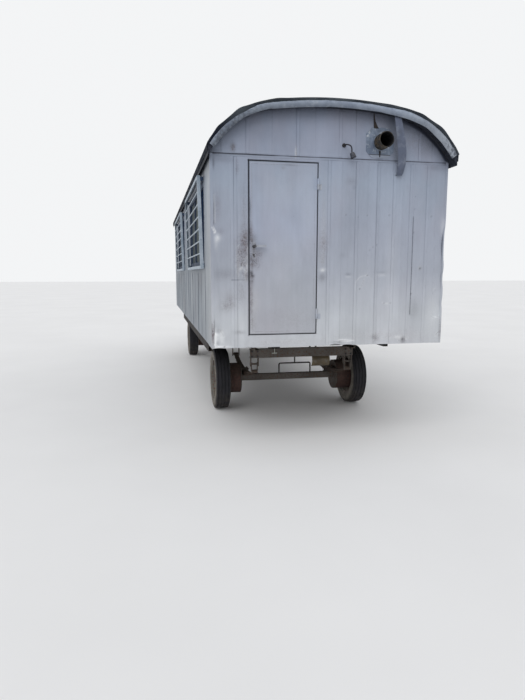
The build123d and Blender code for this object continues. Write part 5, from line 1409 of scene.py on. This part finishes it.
def make_loose_strip():
    """Flashing that has come loose at its foot, leans and bows away from the gable."""
    low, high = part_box("loose_strip")
    heights, lefts, rights = np.array(LOOSE_OUTLINE)[::-1].T

    def place(down, across):
        z = high.z - 0.004 + (low.z + 0.002 - high.z) * down
        y = high.y - 0.002 - (0.066 * (1 - down) + 4 * 0.026 * down * (1 - down))
        cup = 0.008 * (2 * across - 1) ** 2 * (0.4 + down)
        ragged = 0.004 * wave(across * 9, 2) * (down > 0.97)
        left, right = np.interp(z, heights, lefts), np.interp(z, heights, rights)
        x = left + (right - left) * across
        top = min(z, arch_height(x) - 0.002)
        return Vector((x, y - 0.0025 + cup, top + ragged)), Vector((x, y - 0.0005 + cup, top + ragged))

    mesh = bmesh.new()
    add_sheet(mesh, steps(28), steps(8), place)
    finish_mesh(
        mesh, "loose_flashing", SHADED_STRIP_ZINC, "wagon", sharp=50, stands_for=["loose_strip"],
    )


def tar_run(down, aside):
    """Points of the tar that has run from the flue."""
    z = FLUE_Z - FLUE_RADIUS - 0.004 - 0.062 * down
    x = FLUE_X + 0.011 * (1 - 0.62 * down) * (1 + 0.25 * wave(down * 9, 2)) * aside
    bulge = 0.006 * math.sin(math.pi * min(1.0, down + 0.12)) + 0.001
    return Vector((x, BACK - 0.0068 - bulge * (1 - abs(aside)), z)), Vector((x, BACK - 0.0045, z))


def flue_shade_strap(down, across):
    """Points of the dark strap above the flue's plate, which is painted shade of a lifted seam."""
    top = arch_height(0.400) - 0.004
    z = top + (FLUE_Z + FLUE_PLATE_HALF - 0.010 - top) * down
    left = 0.397 + 0.004 * down
    x = left + (0.403 + 0.048 * down ** 2 - left) * across
    out = 0.0045 + 0.0035 * down
    return Vector((x, BACK - out - 0.0012, z)), Vector((x, BACK - out + 0.0045, z))


# How far behind the flue's mouth its clamp starts and ends
CLAMP_ENDS = (0.104, 0.118)


def make_flue_trim():
    """The flue's rolled mouth, its clamp, the tar that has run from it, and the dark strap above its plate,
    which is painted shade of a lifted seam.
    """
    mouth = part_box("flue_pipe")[0].y
    centre, across = Vector((FLUE_X, mouth, FLUE_Z)), Vector((1, 0, 0))
    turns = [2 * math.pi * n / 10 for n in range(10)]
    bead = [(-0.0055 + 0.0050 * math.cos(t), FLUE_RADIUS + 0.0014 + 0.0032 * math.sin(t)) for t in turns]
    near, far = CLAMP_ENDS
    clamp = [(-far, -0.001), (-far, 0.003), (-near, 0.0035), (-near, -0.001)]
    mesh = bmesh.new()
    add_lathe(mesh, centre, OUTWARD, across, bead, 48, lambda a, r, angle: 0.0007 * wave(angle * 3, 1))
    add_lathe(mesh, centre, OUTWARD, across, [(along, FLUE_RADIUS + proud) for along, proud in clamp], 48)
    for angle in (0.0, 2.4, 4.8):
        away = Vector((math.sin(angle), 0, math.cos(angle)))
        add_dome(mesh, centre + Vector((0, (near + far) / 2, 0)) + away * FLUE_RADIUS, away, 0.006, 0.008)
    finish_mesh(mesh, "flue_mouth_bead", PIPE, "wagon")
    mesh = bmesh.new()
    add_sheet(mesh, steps(12), (-1, -0.5, 0, 0.5, 1), tar_run)
    # The dark strap is painted shade of a lifted seam above the plate
    add_sheet(mesh, steps(8), steps(3), flue_shade_strap)
    finish_mesh(mesh, "flue_tar_and_shade_strap", SOOT_AND_SHADE, "wagon")


# Points of the lamp's arm, from its boss: across, out from the wall, and up
LAMP_ARM = (
    (0, 0.004, 0),
    (0.001, 0.035, 0),
    (0.007, 0.052, -0.001),
    (0.018, 0.06, -0.004),
    (0.036, 0.062, -0.009),
    (0.048, 0.062, -0.016),
    (0.056, 0.062, -0.028),
    (0.059, 0.062, -0.046),
    (0.06, 0.062, -0.084),
)
# Closed section of the lamp's shade: distance down its axis, and radius
LAMP_SHADE = (
    (0, 0.006), (0.002, 0.018), (0.008, 0.0225), (0.044, 0.0275), (0.052, 0.03), (0.055, 0.0292),
    (0.053, 0.0262), (0.043, 0.0245), (0.011, 0.019), (0.007, 0.006),
)


def make_lamp():
    """The lamp bracket: a boss, an arm that sags, and an empty shade that has tilted."""
    boss = Vector((LAMP_X, BACK, LAMP_Z))
    mesh = bmesh.new()
    add_dome(mesh, boss, OUTWARD, 0.020, 0.016, 20)
    arm = [boss + Vector((across, -out, up)) for across, out, up in LAMP_ARM]
    add_tube(mesh, arm, 0.0062)
    finish_mesh(mesh, "lamp_arm", BLACK_STEEL, "wagon", sharp=40, stands_for=["lamp_bracket"])
    mesh = bmesh.new()
    axis = Vector((0.34, -0.05, -0.94)).normalized()
    add_lathe(mesh, arm[-1] + Vector((0, 0, 0.008)), axis, axis.orthogonal().normalized(), LAMP_SHADE, 28)
    finish_mesh(mesh, "lamp_shade", LAMP_STEEL, "wagon", sharp=40)


def make_nails():
    """Nail heads along the cover strips and the seam."""
    rng = random.Random(5)
    mesh = bmesh.new()

    def nail(x, y, z):
        add_dome(mesh, Vector((x, y, z)), OUTWARD, 0.0036, 0.0026, 6)

    for seams, low, high in ((REAR_SEAMS, SKIRT + 0.03, PANEL_TOP - 0.03), (GABLE_SEAMS, SEAM + 0.03, None)):
        for place, half, height, *_ in seams:
            top = high if high else arch_height(place) - 0.05
            v = low
            while v < top:
                x = place + rng.uniform(-0.003, 0.003) + (0 if half else 0.010)
                if not (seams is REAR_SEAMS and DOOR_LEFT < x < DOOR_RIGHT) and rng.random() < 0.85:
                    nail(x, BACK - height - 0.0006, v)
                v += 0.125 + rng.uniform(-0.02, 0.02)
    for n in range(24):
        nail(-1.18 + n * 0.1026 + rng.uniform(-0.02, 0.02), BACK - 0.0040, LAP + 0.012)
    finish_mesh(mesh, "clad_nails", CLAD, "wagon")


# Side of each corner's trim, the end of the wagon that it is on, that end's face, and the way it faces
CORNERS = ((-1, "rear", BACK, -1), (1, "rear", BACK, -1), (-1, "front", FRONT, 1), (1, "front", FRONT, 1))
TRIM_LEG = 0.024
TRIM_UNDER = -0.0015


def trim_section(dent, skin):
    """Section of a corner's trim, skin proud of the walls: how far out to the side and out of the end."""
    knocked = skin - dent
    return (
        (HALF - TRIM_LEG, skin),
        (HALF - 0.5 * TRIM_LEG, skin - 0.3 * dent),
        (HALF + knocked - 0.002, knocked),
        (HALF + knocked, knocked - 0.002),
        (HALF + skin - 0.3 * dent, -0.5 * TRIM_LEG),
        (HALF + skin, -TRIM_LEG),
    )


def make_corner_trims():
    """Thin angle trims over the four corners, dented, and rusty at their feet."""
    top = arch_height(HALF) - 0.004
    for side, end, face, out in CORNERS:

        def place(z, n):
            dent = corner_dent(side, z) if end == "rear" else 0.0
            proud = 0.0022 + 0.0010 * wave(z * 9, side + out)
            points = [trim_section(dent, skin)[n] for skin in (proud, TRIM_UNDER)]
            return [Vector((side * x, face + out * y, z)) for x, y in points]

        mesh = bmesh.new()
        add_sheet(mesh, grid_lines(SKIRT + 0.002, top, 0.025), range(6), place)
        name = f"corner_trim_{end}_{'left' if side < 0 else 'right'}"
        trim = finish_mesh(mesh, name, FRONT_PAINT, "wagon")
        strength = 1.0 if side < 0 and end == "rear" else 0.4
        heights = [point.co.z for point in trim.data.vertices]
        paint_points(trim, "rust", [strength * max(0.0, 1 - abs(z - 1.20) / 0.16) for z in heights])


# Sides and front

def side_strip_top(y):
    """Top of a side cover strip: below the grille where it meets a window, else under the eave."""
    reach = GRILLE_MARGIN + 2 * STRIP_HALF
    if any(start - reach < y < start + WINDOW_LENGTH + reach for start in WINDOWS):
        return WINDOW_SILL - reach
    return SEAM


def side_seams():
    """Cover strips of a side wall, a sheet apart, and a lap halfway between each two."""
    count = math.ceil((FRONT - 2 * STRIP_HALF - BACK - SIDE_STRIP_FIRST) / SIDE_SHEET)
    strips = [BACK + SIDE_STRIP_FIRST + SIDE_SHEET * n for n in range(count)]
    rows = [(y, 0, 0.8, SKIRT, side_strip_top(y)) for y in strips]
    laps = [y + SIDE_SHEET / 2 for y in strips[:-1]]
    return seam_rows(rows + [(y, 0.0026, 1.1, SKIRT, side_strip_top(y)) for y in laps], SKIRT, SEAM)


# The same columns as the marks of the door end, with the place along the wagon
SIDE_MARKS = (
    (BACK + 0.3, 2.35, 0.06, 0.2, -0.0035, 0.08, 0.08, 0.2),
    (BACK + 0.25, 1.25, 0.08, 0.11, -0.005, 0.12, 0.25, 0.3),
    (BACK + 1.3, 1.7, 0.3, 0.12, -0.003, 0.1, 0.25, 0),
    (BACK + 2.6, 1.5, 0.2, 0.25, 0.003, 0, 0, 0.2),
    (BACK + 3.3, 2.3, 0.16, 0.35, -0.003, 0.06, 0.2, 0),
    (BACK + 4.6, 1.3, 0.3, 0.16, -0.004, 0.1, 0.2, 0.1),
    (BACK + 5.6, 1.7, 0.3, 0.1, -0.002, 0.12, 0.3, 0),
    (BACK + 7.1, 2, 0.2, 0.5, 0.003, 0, 0.1, 0.15),
)


def make_side_walls():
    """Both side walls, pierced by their windows, with painted shade under the eaves, and old blue paint behind
    the grilles that is partly painted shade.
    """
    seams = side_seams()
    top = arch_height(HALF)
    inner_top = arch_height(HALF - WALL)
    stops = seam_lines(seams)
    for start in WINDOWS:
        stops += [start, start + WINDOW_LENGTH, start - GRILLE_MARGIN - 0.003, start - GRILLE_MARGIN]
    us = grid_lines(BACK + WALL, FRONT - WALL, SIDE_GRID, stops)
    stops = [SKIRT + 0.004, WINDOW_SILL - GRILLE_MARGIN, WINDOW_SILL, WINDOW_HEAD]
    vs = grid_lines(SKIRT, top, SIDE_GRID, stops)
    holes = [(start, start + WINDOW_LENGTH, WINDOW_SILL, WINDOW_HEAD) for start in WINDOWS]
    for side, name, seed in ((-1, "left", 71.0), (1, "right", 91.0)):
        surface = Surface(us, vs)
        surface.age(seams, SIDE_MARKS, seed)
        # Painted shade under the eave, down to about the windows' heads
        surface.dirt += 0.85 * np.clip(1.15 - (top - surface.v) / 0.24, 0, 1) ** 1.5
        surface.pale += 0.30 * bell(surface.u - BACK, 0.75)
        drips = np.clip(surface.noise(0.07, 2.0, seed + 9), 0, 1)
        for start, end, foot, head in holes:
            behind_grille = (surface.u > start - GRILLE_MARGIN) & (surface.u < end + GRILLE_MARGIN)
            behind_grille &= (surface.v > foot - GRILLE_MARGIN) & (surface.v < head + GRILLE_MARGIN)
            # Old blue paint behind each grille, dark as painted shade of the gap
            surface.old_paint_and_shade += 0.92 * behind_grille
            beneath = (surface.u > start) & (surface.u < end) & (surface.v < foot)
            surface.dirt += 0.30 * beneath * drips * np.exp(-(foot - surface.v) / 0.35)

        def spot(u, v, depth):
            height = inner_top if v > top - 0.0005 and depth > 0.01 else v
            return Vector((side * (HALF - depth), u, height))

        clad_panel(
            f"{name}_cladding", surface, spot, SHADED_SIDE_PAINT, "wagon", WALL, holes, stands_for=[f"{name}_wall"],
        )


def make_front_wall():
    """The plain clad front end, with a painted shadow under its seam's step and painted shade under the roof.
    """
    sheet = 2 * HALF / FRONT_SHEETS
    rows = [(n * sheet - HALF, 0, 0.45) for n in range(1, FRONT_SHEETS)]
    rows += [(n * sheet - HALF - sheet / 2, 0.0018, 0.3, SKIRT, CROWN) for n in range(1, FRONT_SHEETS + 1)]
    seams = seam_rows(rows, SKIRT, SEAM)
    us = grid_lines(-HALF, HALF, FRONT_GRID, seam_lines(seams))
    vs = grid_lines(SKIRT, arch_height(0.0), FRONT_GRID, [SKIRT + 0.004])
    surface = Surface(us, vs, top=arch_height)
    surface.age(seams, (), 131.0)
    surface.relief += 0.0030 * share(np.abs(surface.v - SEAM), 0.009, 0.006)
    # Painted shadow under the step at the seam, and painted shade under the roof
    surface.level_line(SEAM - 0.012, 0.012, 0.5, -HALF, HALF, 4.0)
    surface.dirt += 0.5 * np.exp(-(surface.top - surface.v) / 0.055)

    def spot(u, v, depth):
        return Vector((u, FRONT - depth, v))

    clad_panel("front_cladding", surface, spot, FRONT_PAINT, "wagon", WALL, stands_for=["front_wall"])


# Wheels

TYRE_RADIUS = AXLE_Z
TREAD_HALF, TREAD_CROWN = 0.082, 0.0042
TREAD_GROOVES = (-0.063, -0.021, 0.021, 0.063)
GROOVE_HALF, GROOVE_DEPTH = 0.0048, 0.0075
# Where the cuts across the tread's shoulders start, their share of a lug, and their depth
CUT_START, CUT_SHARE, CUT_DEPTH = 0.068, 0.22, 0.0060
LUGS = 64
# Distance across and radius of the points of a flank, from the bead to the tread, and of the tyre's inside
TYRE_FLANK = (
    (0.0745, 0.2545), (0.079, 0.258), (0.08, 0.266), (0.0845, 0.278), (0.089, 0.279), (0.0905, 0.283),
    (0.0925, 0.298), (0.096, 0.315), (0.0975, 0.316), (0.0978, 0.32), (0.099, 0.335), (0.0985, 0.352),
    (0.096, 0.366), (0.0905, 0.379), (0.0858, 0.388),
)
TYRE_INSIDE = ((-0.06, 0.256), (-0.08, 0.33), (-0.07, 0.372), (0.07, 0.372), (0.08, 0.33), (0.06, 0.256))


def tread_drop(along, radius, angle):
    """Depth of the tread's wavy grooves and of the cuts across its shoulders."""
    if radius < TYRE_RADIUS - 0.020 or abs(along) > TREAD_HALF + 0.004:
        return 0.0
    turn = angle * LUGS / (2 * math.pi)
    zigzag = 0.0035 * (2 * abs(2 * (turn % 1) - 1) - 1)
    in_groove = any(abs(along - groove - zigzag) < GROOVE_HALF for groove in TREAD_GROOVES)
    drop = GROOVE_DEPTH if in_groove else 0.0
    cut = (turn + 0.25 * (along > 0)) % 1
    if abs(along) > CUT_START and cut < CUT_SHARE:
        drop = max(drop, CUT_DEPTH)
    return drop


def tyre_profile():
    """Closed loop of (across, radius) round the tyre's section."""
    across = np.linspace(TREAD_HALF, -TREAD_HALF, 53)
    tread = [(x, TYRE_RADIUS - TREAD_CROWN * (x / TREAD_HALF) ** 2) for x in across]
    return [*TYRE_FLANK, *tread, *((-x, radius) for x, radius in reversed(TYRE_FLANK)), *TYRE_INSIDE]


def make_tyres():
    """Four tyres with a worn zigzag tread and ribbed flanks."""
    profile = tyre_profile()
    for place in ("rear_left", "rear_right", "front_left", "front_right"):
        centre = sum(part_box(f"{place}_tyre"), Vector()) / 2
        mesh = bmesh.new()
        add_lathe(mesh, centre, Vector((1, 0, 0)), Vector((0, 1, 0)), profile, 192, tread_drop)
        body, tyre = f"{place}_rolling", f"{place}_tyre"
        finish_mesh(mesh, f"{place}_tread", RUBBER, body, sharp=38, stands_for=[tyre])


# Small things under the body

BOLT_XS, BOLT_ZS = (-0.630, -0.560, 0.560, 0.630), (0.800, 0.860)
HOOK_X, HOOK_Z = -0.351, 0.835


def make_under_fittings():
    """Bolt heads on the rear beam and its hangers, and the small hook on its face."""
    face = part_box("rear_spring_beam")[0].y
    mesh = bmesh.new()
    for x in BOLT_XS:
        for z in BOLT_ZS:
            add_dome(mesh, Vector((x, face, z)), OUTWARD, 0.012, 0.009, 6)
    finish_mesh(mesh, "beam_bolts", FITTINGS, "wagon")
    mesh = bmesh.new()
    for centre_z, half_x, half_z in ((HOOK_Z + 0.026, 0.004, 0.030), (HOOK_Z, 0.033, 0.0045)):

        def place(up, across):
            x, z = HOOK_X + half_x * across, centre_z + half_z * up
            return Vector((x, face - 0.006 - 0.002 * (1 - abs(across)), z)), Vector((x, face + 0.001, z))

        add_sheet(mesh, (-1, -0.5, 0, 0.5, 1), (-1, -0.5, 0, 0.5, 1), place)
    finish_mesh(mesh, "beam_hook", PALE_STEEL, "wagon")


make_rear_wall()
make_gable()
make_door_skin()
make_keyhole()
make_fascia("rear_flashing", FELT_START + 0.0030, -1, ["rear_fascia"])
make_fascia("front_flashing", FELT_END - 0.0030, 1, ["front_fascia"])
make_felt()
make_loose_strip()
make_flue_trim()
make_lamp()
make_nails()
make_corner_trims()
make_side_walls()
make_front_wall()
make_tyres()
make_under_fittings()


# Stage, light and camera

def make_floor():
    """Wide pale floor that fades into the background."""
    mesh = bmesh.new()
    bmesh.ops.create_grid(mesh, x_segments=8, y_segments=8, size=120)
    data = bpy.data.meshes.new("floor")
    mesh.to_mesh(data)
    mesh.free()
    floor = bpy.data.objects.new("studio_floor", data)
    bpy.context.scene.collection.objects.link(floor)
    finish = Finish("studio_floor", 0.9)
    grey = finish.mix((0.80, 0.80, 0.80, 1), (0.83, 0.83, 0.83, 1), finish.noise(0.4, detail=3))
    finish.feed(finish.shader.inputs["Base Color"], grey)
    data.materials.append(finish.material)


def make_light():
    """Soft white surroundings, pale to the camera and in reflections, and one broad soft sun."""
    world = bpy.data.worlds.new("studio")
    bpy.context.scene.world = world
    world.use_nodes = True
    nodes, links = world.node_tree.nodes, world.node_tree.links
    backdrop = nodes.new("ShaderNodeBackground")
    backdrop.inputs["Color"].default_value = (0.90, 0.91, 0.92, 1)
    fill = nodes["Background"]
    fill.inputs["Color"].default_value = (0.97, 0.98, 1.0, 1)
    fill.inputs["Strength"].default_value = 0.72
    path = nodes.new("ShaderNodeLightPath")
    seen = path.outputs["Is Camera Ray"]
    for ray in ("Is Glossy Ray", "Is Transmission Ray"):
        either = nodes.new("ShaderNodeMath")
        either.operation = "MAXIMUM"
        links.new(seen, either.inputs[0])
        links.new(path.outputs[ray], either.inputs[1])
        seen = either.outputs[0]
    mix = nodes.new("ShaderNodeMixShader")
    links.new(seen, mix.inputs[0])
    links.new(fill.outputs[0], mix.inputs[1])
    links.new(backdrop.outputs[0], mix.inputs[2])
    links.new(mix.outputs[0], nodes["World Output"].inputs["Surface"])
    sun = bpy.data.lights.new("soft_sun", "SUN")
    sun.energy = 1.15
    sun.angle = math.radians(50)
    lamp = bpy.data.objects.new("soft_sun", sun)
    bpy.context.scene.collection.objects.link(lamp)
    lamp.rotation_euler = Vector((-0.35, -0.75, 0.75)).to_track_quat("Z", "Y").to_euler()


def make_camera():
    """The photograph's point of view, upright, solved from the door end and the wheels."""
    data = bpy.data.cameras.new("camera")
    data.sensor_width = 36
    data.lens = 27.80
    camera = bpy.data.objects.new("camera", data)
    bpy.context.scene.collection.objects.link(camera)
    camera.location = (-1.7893, BACK - 5.2655, 1.7906)
    camera.rotation_euler = (math.radians(90 - 8.024), 0, math.radians(-11.47))
    bpy.context.scene.camera = camera


make_floor()
make_light()
make_camera()
bpy.context.scene.view_settings.view_transform = "Standard"
